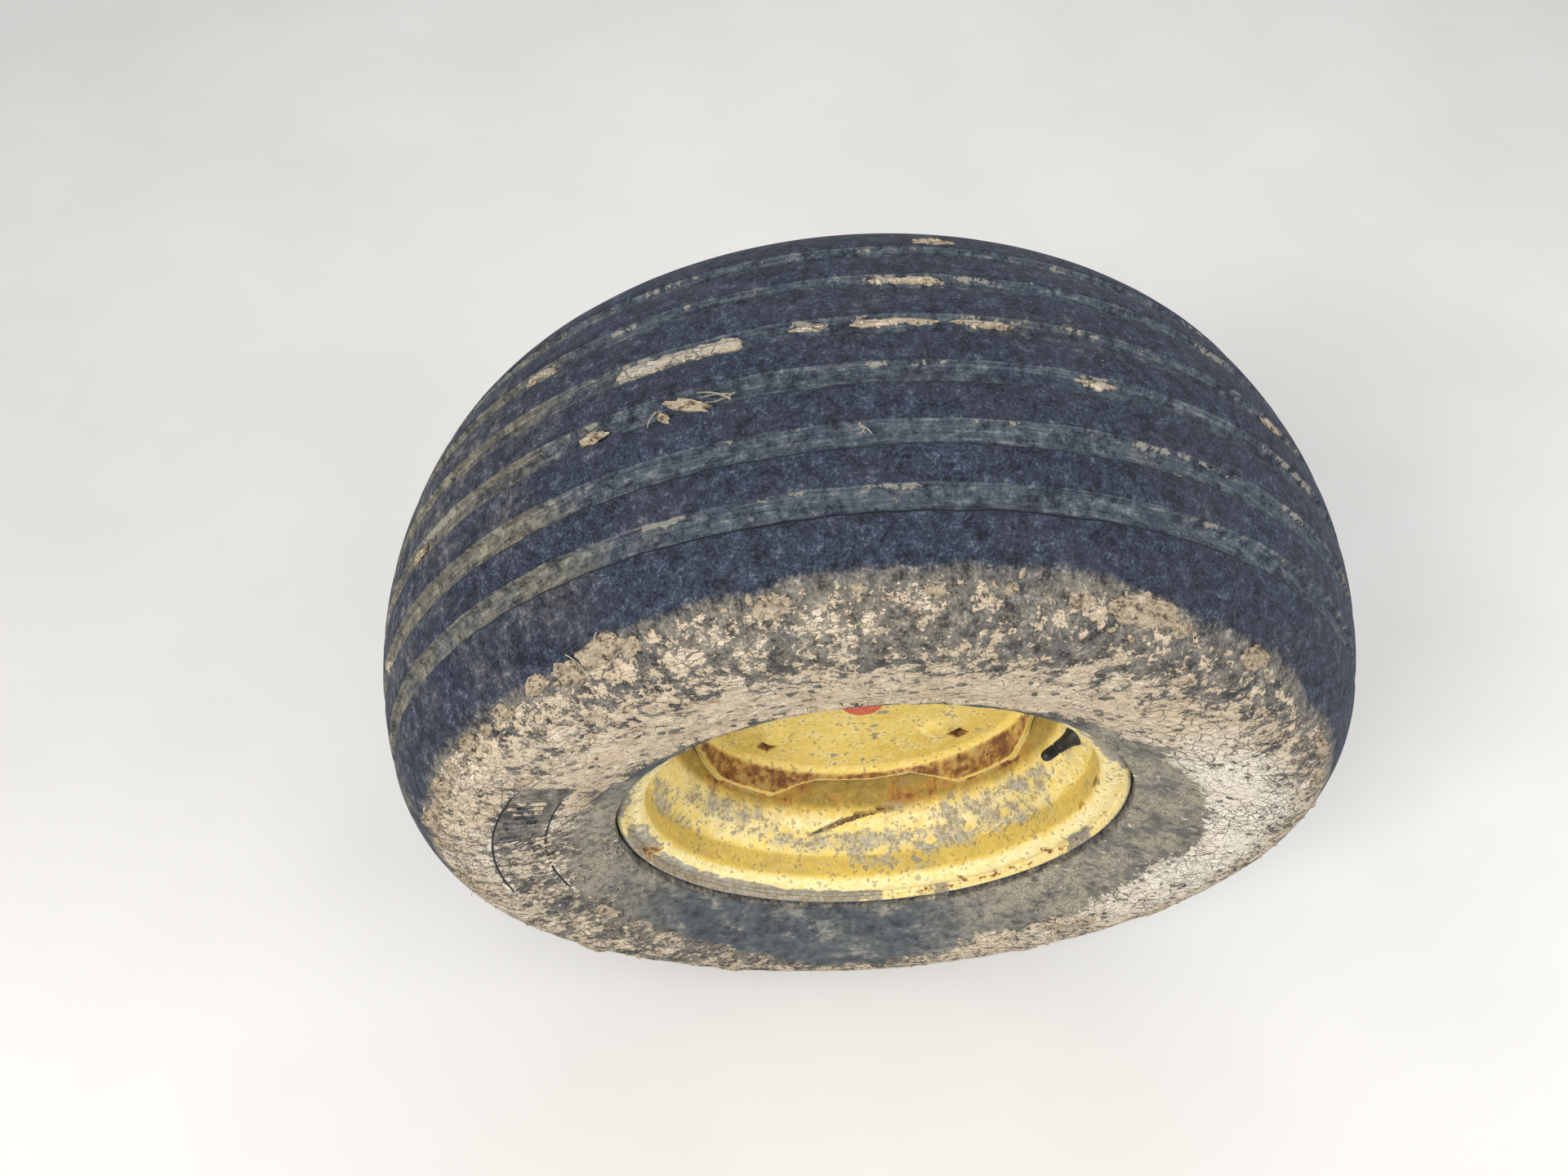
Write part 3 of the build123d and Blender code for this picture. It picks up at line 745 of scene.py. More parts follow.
def bead_ridge(radius):
    """How far the moulded ring round the flange stands out from the sidewall's arc."""
    foot = FLANGE_R + BEAD_STEP
    rise = BEAD_RIDGE * share(radius, foot + BEAD_RIDGE_WIDTH, foot + BEAD_RIDGE_TOP) * (1 - 0.035 * (radius - foot))
    return rise - 0.6 * share(radius, foot + 2.0, foot)


def groove_at(across):
    """Depth of the nearest groove, as a share of its full depth."""
    off = min(abs(across - place) for place in GROOVES)
    for (near, deep), (far, shallow) in zip(GROOVE_SECTION, GROOVE_SECTION[1:]):
        if off <= far:
            return deep + (shallow - deep) * (off - near) / (far - near)
    return 0.0


# What the layer "groove" says beyond 0 to 1: crumbs on the inboard edge, painted shadow along the outboard edge, a
# groove full of mud
CRUMBLY, GROOVE_SHADOW, MUD_FILLED = 1.5, -2.4, 2.6
SPLIT = 3.0                   # and the layer "cracked", along a split
BARE_INSIDE = 999.0           # mark of the points inside the tyre
INNER_PAINT = (0.0, 0.3, 0.0, 0.0)


def groove_paint(across):
    """Silt in a groove: more than 1 at its inboard edge, less than 0 for the painted shadow at its outboard edge."""
    off = min((across - place for place in GROOVES), key=abs)
    if abs(off + 7.7) < 1.1:
        return CRUMBLY
    if 7.4 < off < 8.6:
        return GROOVE_SHADOW
    return share(groove_at(across), 0.3, 0.95)


# A panel of the sidewall where the mud has come off: its middle, half its reach round, and from which radius to which
PANEL = (158.0, 9.8, 261.0, 299.5)
# Long splits in the rubber's skin: distance across the tyre, first and last direction
SPLITS = ((261.5, 150, 197), (221.5, 147, 192))


def in_panel(angle, radius):
    """1 on the panel where the moulded bars show, and 0 outside it."""
    middle, reach, low, high = PANEL
    round_axle = share(abs(apart(angle, middle)), reach + 0.5, reach - 0.5)
    return round_axle * share(radius, low - 1.5, low + 1.5) * share(radius, high + 1.5, high - 1.5)


def split_at(angle, across, radius):
    """1 on the points that a split runs along."""
    best = 0.0
    for where, first, last in SPLITS:
        if abs(across - where) < 2.0:
            half = (last - first) / 2
            best = max(best, share(abs(apart(angle, first + half)), half, half - 5))
    middle, reach, low, high = PANEL
    if across > 0 and abs(apart(angle, middle + reach)) < 0.353 and low < radius < high:
        best = 1.0
    return best


def tyre_paint(angle, across, place):
    """Mud, dust haze and cracks at a place on the tyre's outside."""
    radius, along = tyre_line(across)
    if across < 0:                                      # the side towards the machine is less muddy
        drift = 0.2 * rough(place + Vector((0, 0, 400)), 110, 3)
        bare_to, soil_mid, soil_top, cracks = 236.0, 0.42 + drift, 0.44 + drift, 0.4
        edge = 152.0
    else:
        bare_to, soil_mid, soil_top, cracks = round_table(SOIL_ROUND, round(angle, 1))
        edge = round_table(MUD_EDGE, round(angle, 1))[0]
    edge += 3.5 * rough(place, 38, 3)
    bare_to += 11.0 * rough(place, 34, 4)
    on_wall = 1.0 if radius < WIDEST_R else share(abs(along), edge - 3, edge + 5)
    soil = soil_mid + (soil_top - soil_mid) * share(radius, 255, 336)
    least = 0.08 + 0.2 * share(cracks, 0.35, 0.7)
    soil = least + (soil - least) * share(radius, bare_to - 14, bare_to + 12)
    soil *= on_wall
    dust = 0.7 + 0.16 * share(radius, bare_to + 9, bare_to - 7)
    if radius > WIDEST_R:                               # palest right at the mud's edge
        dust = 0.73 * share(abs(along), edge - 12, edge + 1)
    if across > 0:
        panel = in_panel(angle, radius)
        soil, dust, cracks = soil * (1 - 0.9 * panel), dust + (0.7 - dust) * panel, cracks * (1 - 0.8 * panel)
    fine_cracks = 0.55 + 0.45 * share(radius, 330, 300)
    return soil, dust, 0.25 + (cracks - 0.25) * fine_cracks


def tyre_stations():
    """Distances across the tyre's outside, close together at the grooves and finer on the outboard side."""
    half = GROOVE_SECTION[-1][0]
    ridge = across_from_radius(FLANGE_R + BEAD_STEP + BEAD_RIDGE_WIDTH)
    out = [place + side * off for place in GROOVES for off, _ in GROOVE_SECTION for side in (1, -1)]
    stretches = [(before + half, after - half, 4) for before, after in zip(GROOVES, GROOVES[1:])]
    stretches += [
        (GROOVES[-1] + half, ridge, 46), (ridge, HALF_SECTION, 15), (GROOVES[0] - half, -ridge, 20),
        (-ridge, -HALF_SECTION, 7),
    ]
    for first, last, parts in stretches:
        out += [first + (last - first) * part / parts for part in range(1, parts + 1)]
    return sorted({round(mark, 2) for mark in out})


# Mud that fills a groove: the groove's distance across the tyre, first and last direction
MUDDY_GROOVES = (
    (-20.1, 103.5, 115.5), (-63.1, 84.5, 91.0), (-20.1, 79.0, 84.0), (-20.1, 86.0, 93.0), (-20.1, 96.0, 98.5),
    (20.1, 70.0, 73.0), (-63.1, 124.5, 128.0), (20.1, 144.0, 147.0), (63.1, 158.0, 160.0), (-20.1, 44.0, 47.0),
    (63.1, 200.0, 214.0), (-63.1, 262.0, 281.0), (20.1, 318.0, 333.0),
)


MOULDED_RINGS = ((264.0, 0.9, 2.2), (240.0, 0.5, 2.0), (300.0, 0.6, 2.6))      # radius, height, half width
RUBBER_GAP = 0.8              # between the rubber's edge and the flange
RUBBER_EDGE = 133.0           # place along the axle where the rubber leaves the flange
TREAD_FROM_R = 385.0
MUD_LIMIT = 1.6               # how far mud may stand out below the tread
OUTERMOST_Y = WHEEL_Y + 0.1 - TYRE_HALF_WIDTH
PALER_RIB_SIDE = 168.0            # direction of the side whose ribs are paler


def build_tyre():
    outside = tyre_stations()
    inside = [300, 270, 235, 200, 165, 130, 95, 50]
    inside = inside + [0] + [-mark for mark in reversed(inside)]
    heel, seat = FLANGE_HALF_GAP - BEAD_CLEARANCE, SEAT_R + BEAD_CLEARANCE
    bead = [
        (FLANGE_R + RUBBER_GAP, RUBBER_EDGE), (FLANGE_R + BEAD_CLEARANCE + 0.4, heel + 0.4),
        (seat + SEAT_FILLET, heel), (seat + 1.8, heel - 1.8), (seat, heel - SEAT_FILLET),
        (seat - 1.6, FLANGE_HALF_GAP - BEAD_WIDTH),
    ]
    section = [tyre_line(mark) for mark in outside]
    section += [(r, -y) for r, y in bead]
    section += [tyre_line(mark, -TYRE_WALL) for mark in inside]
    section += [(r, y) for r, y in reversed(bead)]
    marks = outside + [BARE_INSIDE] * (len(section) - len(outside))
    bm = lathe(section, TYRE_STEPS, marks=marks)
    across_layer = bm.verts.layers.float["across"]
    layers = painter(bm, TYRE_LAYERS)
    for vert in bm.verts:
        across = vert[across_layer]
        angle, radius, along = polar(vert.co)
        if across == BARE_INSIDE:
            paint(vert, layers, INNER_PAINT)
            continue
        place = vert.co.copy()
        groove = groove_at(across)
        soil, dust, cracks = tyre_paint(angle, across, place)
        filled = 0.0
        if groove > 0:
            for number, (where, first, last) in enumerate(MUDDY_GROOVES):
                if abs(across - where) < GROOVE_SECTION[-1][0]:
                    reach = (last - first) / 2
                    off = abs(apart(angle, (first + last) / 2)) + 0.5 * rough(place, 9, 2)
                    shift, wide = (0, 6.5) if number == 0 else (3.0, 3.6)
                    ragged = share(abs(across - where + shift) + 2.5 * rough(place, 6, 2), wide, wide - 2.5)
                    filled = max(filled, share(off, reach + 0.35, reach - 0.35) * ragged)
        wander = 0.9 * rough(place, 21, 3) if abs(across) < 118 else 0.0
        height = -groove * GROOVE_DEPTH * (1.0 + 0.12 * rough(place, 60, 2))
        if filled:
            height += filled * groove * (GROOVE_DEPTH * 0.92 + 0.5 * rough(place, 8, 2))
            soil = max(soil, filled * min(1.0, 0.35 + groove))
            cracks = max(cracks, 0.8 * filled)
        height -= 0.35 + 0.3 * abs(rough(place, 70, 2))
        if radius < 320:
            for ring, rise, width in MOULDED_RINGS:
                height += rise * exp(-((radius - ring) / width) ** 2)
        thick = share(soil + 0.35 * rough(place, 34, 3), 0.35, 0.75)
        height += thick * (0.7 + 0.6 * rough(place, 14, 3)) * (1.0 if radius < 392 else 0.3)
        height = min(height, MUD_LIMIT if radius < TREAD_FROM_R else -0.05)
        ridge = bead_ridge(radius) if radius < 236 else 0.0
        if ridge > 0.5:
            height += 0.7 * rough(place, 11, 3)
        vert.co = on_tyre(angle, across + wander, height)
        vert.co.y -= ridge * (1 if across > 0 else -1)
        if HALF_SECTION - abs(across) < 0.5:            # the rubber's edge all but touches the flange
            vert.co = round_wheel(angle, FLANGE_R + RUBBER_GAP, polar(vert.co)[2])
        vert.co.y = max(vert.co.y, OUTERMOST_Y)
        # The ribs are paler towards one side
        paler_side = 0.2 * share(abs(apart(angle, PALER_RIB_SIDE)), 62, 20)
        cracks += (SPLIT - cracks) * split_at(angle, across, radius)
        dust = max(dust, 0.16 + paler_side + 0.1 * rough(place, 120, 2))
        # The silt value also carries the painted shadow along each groove's outboard edge
        silt = groove_paint(across) * (0.85 + 0.3 * rough(place, 45, 2))
        if 0 < groove_paint(across) <= 1:               # the inboard grooves are less silty
            silt *= 0.62 + 0.38 * share(across, 0, 60)
        paint(vert, layers, (soil, dust, silt * (1 - filled) + MUD_FILLED * filled, cracks))
    return finished("tyre", bm, "wheel", RUBBER, ["tyre"], sharp=70)


def clod(bm, angle, across, length, width, height, twist=0.0, base=0.0, seed=0.0, detail=4):
    """One crumbly lump of dried mud on the tyre, its length round the tyre unless it is twisted."""
    lump = bmesh.ops.create_icosphere(bm, subdivisions=detail, radius=1.0)["verts"]
    turn = radians(twist)
    push = Vector((seed, seed * 0.7, 3.0))
    for vert in lump:
        shape = vert.co.copy()
        size = 1.0 + 0.42 * rough(shape * 1.6 + push, 1.0, 4) + 0.10 * rough(shape * 9.0 + push, 1.0, 2)
        u, v = shape.x * size * length / 2, shape.y * size * width / 2
        crumble = 0.55 + 0.75 * abs(rough(shape * 2.6 - push, 1.0, 4)) + 0.16 * rough(shape * 14.0 + push, 1.0, 2)
        w = base + max(shape.z, -0.35) * height * crumble
        u, v = u * cos(turn) - v * sin(turn), u * sin(turn) + v * cos(turn)
        radius = tyre_line(across + v)[0]
        vert.co = inside_box(on_tyre(angle + degrees(u / radius), across + v, w))


def inside_box(point):
    """A point a little inside the tyre's widest and highest places, at most."""
    angle, radius, along = polar(point)
    return round_wheel(angle, min(radius, CROWN_R - 0.3), max(along, 0.2 - TYRE_HALF_WIDTH))


# Clods of dried mud: direction, place along the axle of the shoulder, length, width, height, twist
SHOULDER_CLODS = (
    (103, 151, 24, 13, 4.0, 0), (121, 150, 34, 17, 6.5, 10), (125.5, 154, 22, 14, 5.0, -20),
    (117.5, 153, 15, 10, 3.5, 30), (130, 153, 20, 12, 4.0, 15), (136, 156, 20, 11, 4.0, -10),
    (140, 158, 13, 8, 3.0, 0), (144, 158, 24, 13, 5.0, 0), (150, 160, 14, 11, 4.0, 20), (155, 160.5, 30, 15, 6.5, 0),
    (160, 163, 17, 10, 4.0, -15), (165, 161, 27, 18, 7.5, 15), (171, 165, 18, 12, 4.5, 0),
    (182, 168.5, 42, 9, 5.0, 0), (188, 170, 30, 9, 4.5, 0), (67, 151.5, 46, 20, 6.5, 0), (62, 155, 15, 10, 3.5, 20),
    (74, 152, 14, 9, 3.0, 0), (51, 155.5, 23, 16, 6.0, 10), (26, 163, 46, 10, 5.0, 0), (19, 166, 22, 9, 4.0, 0),
    (-33, 170.5, 34, 10, 4.5, 0), (-60, 163, 30, 14, 4.5, 0), (-85, 158, 38, 12, 4.5, 0), (-112, 165, 30, 11, 4.0, 0),
    (-140, 168, 36, 10, 4.0, 0), (88, 150, 12, 8, 2.6, 0), (95, 147, 9, 6, 2.2, 0), (81, 149, 10, 7, 2.4, 30),
)
# Clods on the tread, with the distance across it, and on the lower sidewall, with the radius
TREAD_CLODS = (
    (108.3, 23.5, 31, 7.5, 5.0, -25, -1.3), (110.8, 27.5, 12, 6, 4.6, -60, -1.5), (118.2, 23.0, 19, 8, 4.0, 0, -2.2),
    (84, -121, 26, 9, 2.4, 0, -0.6),
)
WALL_CLODS = (
    (-44, 292, 30, 16, 4.0, 20), (-49, 286, 20, 12, 3.0, -10), (208, 262, 26, 12, 2.6, 15),
    (146, 302, 20, 12, 2.4, 0), (127, 318, 24, 15, 3.0, 30), (58, 322, 16, 11, 2.2, 0),
)


CRUMBS = 120


def build_mud():
    bm = bmesh.new()
    for number, (angle, along, length, width, height, twist) in enumerate(SHOULDER_CLODS):
        clod(bm, angle, across_at(along), length, width, height, twist, -0.6, 3.1 * number)
    for number, (angle, across, length, width, height, twist, base) in enumerate(TREAD_CLODS):
        clod(bm, angle, across, length, width, height, twist, base, 50 + 2.3 * number)
    for number, (angle, radius, length, width, height, twist) in enumerate(WALL_CLODS):
        clod(bm, angle, across_from_radius(radius), length, width, height, twist, -0.4, 80 + 1.7 * number)
    for number, (where, first, last) in enumerate(MUDDY_GROOVES):
        length = CROWN_R * radians(last - first)
        pieces = max(1, round(length / 15))
        for piece in range(pieces):
            angle = first + (last - first) * (piece + 0.5) / pieces
            wide = 9.5 if number == 0 else 5.0 + 1.6 * sin(piece * 2.3 + number)
            off = 0.0 if number == 0 else -3.0 + 1.2 * sin(piece * 1.7 + number)
            clod(
                bm, angle, where + off, length / pieces * 1.25, wide, 2.6, 0, -3.4, 120 + 5.3 * number + piece,
                detail=3,
            )
    # Small crumbs scattered over the muddy band of the shoulder
    for number in range(CRUMBS):
        angle = (number * 137.5) % 360
        edge = round_table(MUD_EDGE, angle)[0]
        along = edge + 9 + 5 * sin(number * 1.7) + 3 * sin(number * 4.1)
        size = 1.6 + 2.6 * abs(sin(number * 2.9)) ** 2
        clod(
            bm, angle, across_at(min(along, 168)) + 6 * sin(number * 0.9), size * 1.7, size, size * 0.5, number * 47,
            -0.3, 200 + number, detail=2,
        )
    bmesh.ops.recalc_face_normals(bm, faces=bm.faces)
    return finished("mud_clods", bm, "wheel", MUD, sharp=80)


STALK_PARTS, STALK_TAPER = 8, 0.93


def stalk(bm, angle, across, length, thickness, twist, lift, bend, base=1.0):
    """One bit of straw that lies on the tyre."""
    before = len(bm.verts)
    ring = bmesh.ops.create_circle(bm, cap_ends=True, radius=thickness, segments=6)["verts"]
    edges = edges_of(ring)
    bmesh.ops.translate(bm, verts=ring, vec=(0, 0, -length / 2))
    for _ in range(STALK_PARTS):
        fresh, edges = pulled(bm, edges)
        bmesh.ops.translate(bm, verts=fresh, vec=(0, 0, length / STALK_PARTS))
        bmesh.ops.scale(bm, verts=fresh, vec=(STALK_TAPER, STALK_TAPER, 1))
    bmesh.ops.contextual_create(bm, geom=edges)
    bm.verts.ensure_lookup_table()
    verts = bm.verts[before:]
    turn = radians(twist)
    for vert in verts:
        run = vert.co.z / length
        u, v, w = vert.co.z, vert.co.x + bend * (run * run * 4 - 1), vert.co.y * 0.6 + lift * (run + 0.5) ** 2
        u, v = u * cos(turn) - v * sin(turn), u * sin(turn) + v * cos(turn)
        radius = tyre_line(across + v)[0]
        vert.co = inside_box(on_tyre(angle + degrees(u / radius), across + v, base + w))


# Straw: direction, distance across the tyre, length, thickness, twist, lift of its end, bend
STALKS = (
    (106.0, 21.5, 24, 0.9, -28, 4.0, 2.0), (105.4, 24.0, 19, 0.8, 8, 5.0, -2.0), (105.8, 22.0, 21, 0.7, -8, 3.0, 1.0),
    (111.8, 27.5, 12, 0.8, 60, 3.0, 1.5), (103.0, across_at(151), 22, 0.6, 35, 3.5, 2.0),
    (102.0, across_at(150), 17, 0.6, -20, 3.5, -2.0), (66.0, across_at(149), 13, 0.8, 80, 5.0, 0.5),
    (69.5, across_at(150), 15, 0.8, 95, 5.5, -0.5), (121.0, across_at(149), 20, 0.6, 70, 3.5, 3.0),
    (124.0, across_at(155), 26, 0.5, 110, 2.5, -3.0), (119.0, across_at(156), 24, 0.5, 20, 3.0, 3.0),
    (144.0, across_at(160), 22, 0.5, 60, 4.0, 2.0), (157.0, across_at(163), 26, 0.5, -50, 3.0, 3.0),
    (166.0, across_at(164), 24, 0.5, 85, 4.0, -3.0), (182.0, across_at(170), 28, 0.6, 40, 3.0, 4.0),
    (187.0, across_at(169), 20, 0.5, -35, 4.0, 2.0), (-59.0, across_from_radius(290), 30, 0.7, 75, 2.5, 4.0),
    (-56.0, across_from_radius(300), 26, 0.5, 25, 2.0, -5.0), (92.0, -19.0, 9, 0.5, 15, 3.0, 1.0),
    (93.2, 62.0, 8, 0.5, -35, 3.0, 1.0), (93.6, 63.0, 7, 0.5, 50, 3.0, -1.0),
    (-45.0, across_from_radius(294), 22, 0.6, -30, 3.0, 2.0), (136.0, across_at(157), 18, 0.5, 15, 3.5, -2.0),
    (24.0, across_at(163), 18, 0.5, 40, 3.0, 2.0),
)


def build_straw():
    bm = bmesh.new()
    for stalk_at in STALKS:
        stalk(bm, *stalk_at)
    bmesh.ops.recalc_face_normals(bm, faces=bm.faces)
    return finished("straw_bits", bm, "wheel", STRAW)


# Moulded bars: their number, the first one's direction and the step between them, in degrees, and their size
BARS, FIRST_BAR, BAR_PITCH = 16, 153.6, 1.85
BAR_WIDTH, BAR_DEPTH = 2.6, 3.2
BARS_ON_PANEL, BARS_BELOW = (283.0, 23.0), (265.0, 14.0)      # radius and length


def build_bars():
    """Short moulded bars on the sidewall. They show where the mud has come off."""
    bm = bmesh.new()
    for side in (1, -1):
        for number in range(BARS):
            angle = FIRST_BAR + number * BAR_PITCH
            radius, length = BARS_ON_PANEL if number < 8 else BARS_BELOW
            middle = side * across_from_radius(radius + 2 * sin(number * 2.3))
            made = bmesh.ops.create_cube(bm, size=1.0)["verts"]
            bmesh.ops.scale(bm, vec=(BAR_WIDTH, length + 3.0 * sin(number * 1.9), BAR_DEPTH), verts=made)
            made = rounded_edges(bm, edges_of(made), 0.9)["verts"]
            for vert in made:
                local = vert.co.copy()
                across = middle + local.y
                radius = tyre_line(across)[0]
                bow = 0.6 * sin(local.y * 0.3 + number)
                vert.co = on_tyre(angle + degrees((local.x + bow) / radius), across, local.z - 0.35)
                vert.co.y = max(vert.co.y, OUTERMOST_Y)
    layers = painter(bm, TYRE_LAYERS)
    for vert in bm.verts:
        turn = apart(polar(vert.co)[0], FIRST_BAR)
        muddy = 0.2 if 4.6 <= turn <= 13.5 else 0.62
        paint(vert, layers, (muddy + 0.2 * rough(vert.co, 12, 2), 0.55))
    bmesh.ops.recalc_face_normals(bm, faces=bm.faces)
    return finished("sidewall_bars", bm, "wheel", RUBBER)


# ---------------------------------------------------------------- wheel

def near(angle, radius_or_along, spot, reach=1.25):
    """1 at the middle of an oval spot and 0 outside it; the spot is direction, place, half angle, half width."""
    where, place, half_angle, half_width = spot
    if abs(radius_or_along - place) > half_width * reach:
        return 0.0
    return share(hypot(apart(angle, where) / half_angle, (radius_or_along - place) / half_width), reach, 0.5)


# Grey, worn arcs of the flange: first and last direction, how far out on the flange they start
FLANGE_WEAR = (
    (-177, -158, 2), (-158, -115, 8.5), (-127, -86, 13), (-70, -66, 16), (-28, -17, 13), (23, 43, 10), (98, 128, 14),
    (160, 172, 16),
)
# Spots of the rim: direction, place along the axle, half angle, half width
SLOPE_SCUFFS = (
    (-92, -90, 22, 9), (-67, -95, 16, 10), (-41, -92, 14, 11), (-28, -79, 10, 11), (-52, -76, 11, 9),
    (-140, -76, 16, 10), (-160, -100, 14, 6), (-84, -108, 7, 6), (-70, -118, 3, 3), (-75.5, -60.6, 5, 3),
    (-134, -58.5, 6, 3), (-118, -88, 9, 6), (60, -85, 22, 8), (130, -88, 20, 7), (178, -92, 16, 6),
)
SLOPE_FADES = (
    (-154, -67, 15, 9), (-131, -86, 14, 10), (-105, -74, 12, 6), (-52, -78, 14, 10), (40, -76, 20, 9),
    (100, -80, 18, 8),
)
RIM_RUST = (
    (-140, -54, 9, 5), (-118, -52, 8, 5), (-30, -54, 8, 6), (-96, -50, 6, 4), (-107, -44.5, 6, 5), (-70, -52, 9, 9),
    (-63, -48, 8, 8), (-77, -45, 5, 6), (-56, -44, 5, 5), (-84, -47, 4, 4), (-152, -47, 12, 4), (-136, -46, 6, 4),
    (-168, -44, 10, 4), (-48, -50, 7, 5), (-160, -134, 3, 4), (14, -60, 8, 8), (50, -48, 14, 6), (110, -50, 16, 6),
    (160, -46, 12, 5),
)
RIM_RUST_DOTS = (
    (-80, -135, 1.1, 1.4), (-72, -134, 1.9, 2.2), (-66, -134.6, 2.2, 2.0), (-61, -132, 0.9, 1.2),
    (-56, -134, 1.5, 1.8), (-52, -134, 1.9, 2.2), (-47, -133, 1.2, 1.6), (-41, -135, 0.9, 1.2), (-34, -132, 1.2, 1.6),
    (-30, -134, 1.7, 2.2), (-24, -133, 1.0, 1.4), (-57, -121, 1.2, 1.6), (-12, -121, 3, 3), (2, -119, 4, 3),
)
# The long scratch in the slope: direction, place along the axle
SCAR = ((-105.5, -85), (-99, -77.5), (-93, -71.5), (-87, -66.5), (-81, -64), (-77, -62))
SCAR_WIDTH = 2.9
FLANGE_DENTS = ((-140, 16, 0.9), (-64, 7, 0.6), (28, 8, 0.5))                # direction, half angle, depth


def scar_at(angle, along):
    """1 on the long rusty scratch in the rim's slope, and less in the stained paint round it."""
    best, reach = 0.0, radians(1) * (WELL_R + 5)        # length of one degree there
    for number, ((a0, y0), (a1, y1)) in enumerate(zip(SCAR, SCAR[1:])):
        run, rise = (a1 - a0) * reach, y1 - y0
        du, dv = apart(angle, a0) * reach, along - y0
        part = min(max((du * run + dv * rise) / (run * run + rise * rise), 0.0), 1.0)
        away = hypot(du - run * part, dv - rise * part)
        taper = sin(pi * (number + part + 0.35) / (len(SCAR) - 0.3)) ** 0.8
        taper = max(taper * (1 + 0.6 * rough(Vector((angle, along * 0.4, 0)), 2.2, 3)), 0.3 * taper, 0.15)
        best = max(
            best, share(away, SCAR_WIDTH * taper + 0.8, SCAR_WIDTH * taper * 0.5),
            0.42 * share(away, 7.0 * taper, 1.5),
        )
    return best


def flange_wear(angle, radius, along, uneven):
    """1 where the flange is worn to grey."""
    across = (radius - SEAT_R + RIM_SHEET) + (-along - FLANGE_HALF_GAP)
    worn = 0.0
    for first, last, start in FLANGE_WEAR:
        middle, half = (first + last) / 2, (last - first) / 2
        sideways = share(abs(apart(angle, middle)) + 6.0 * uneven, half + 3.0, half - 4.0)
        worn = max(worn, sideways * share(across + 4.0 * uneven, start - 1.0, start + 2.0))
    return worn


def rim_paint(angle, radius, along, place):
    """Bleaching, scuffs, rust and shade on the rim's hollow side."""
    uneven = rough(place, 16, 4)
    slope = share(along, -108, -96) * share(along, -54, -68)
    flange = share(along, -118, -126)
    bleached = 0.6 * slope + 0.8 * flange + 0.2 * share(along, -30, 0) + 0.25 * uneven
    worn = 0.15 + 0.08 * uneven + 0.08 * slope
    if flange > 0:
        worn = max(worn, 0.98 * flange_wear(angle, radius, along, uneven))
    for spot in SLOPE_SCUFFS:
        worn = max(worn, 0.19 + 0.36 * near(angle, along, spot, 1.8) + 0.18 * uneven)
    for spot in SLOPE_FADES:
        bleached += 0.35 * near(angle, along, spot)
    rusty = 0.0
    for spot in RIM_RUST:
        rusty = max(rusty, (0.56 + 0.3 * uneven + 0.4 * rough(place, 5, 3)) * near(angle, along, spot, 1.6))
    if along < -110:
        for spot in RIM_RUST_DOTS:
            rusty = max(rusty, (0.62 + 0.8 * rough(place, 3.2, 2)) * near(angle, along, spot, 1.5))
    elif -96 < along < -56:
        rusty = max(rusty, 0.7 * scar_at(angle, along))
    rusty = max(rusty, 0.3 * share(along, -20, -30) * share(along, -46, -36))
    # The bead seat band is duller, the well beside the disc darker with painted shade and dirt, and the slope has
    # dull patches
    shade_and_grime = max(
        0.45 * share(along, -125, -119) * share(along, -96, -104), 0.95 * share(along, -72, -50),
        (0.2 + 0.3 * uneven) * slope,
    )
    core = share(scar_at(angle, along), 0.36, 0.62) if -96 < along < -56 and -112 < angle < -70 else 0.0
    worn += (0.36 + 0.3 * rough(place, 4, 2) - worn) * core
    shade_and_grime += (1.75 - shade_and_grime) * core
    rusty -= 0.42 * core
    # Painted shade: near black inside the wheel, inboard of the disc
    shade_and_grime += 1.2 * share(along, -24, 4)
    return bleached, worn, rusty, shade_and_grime


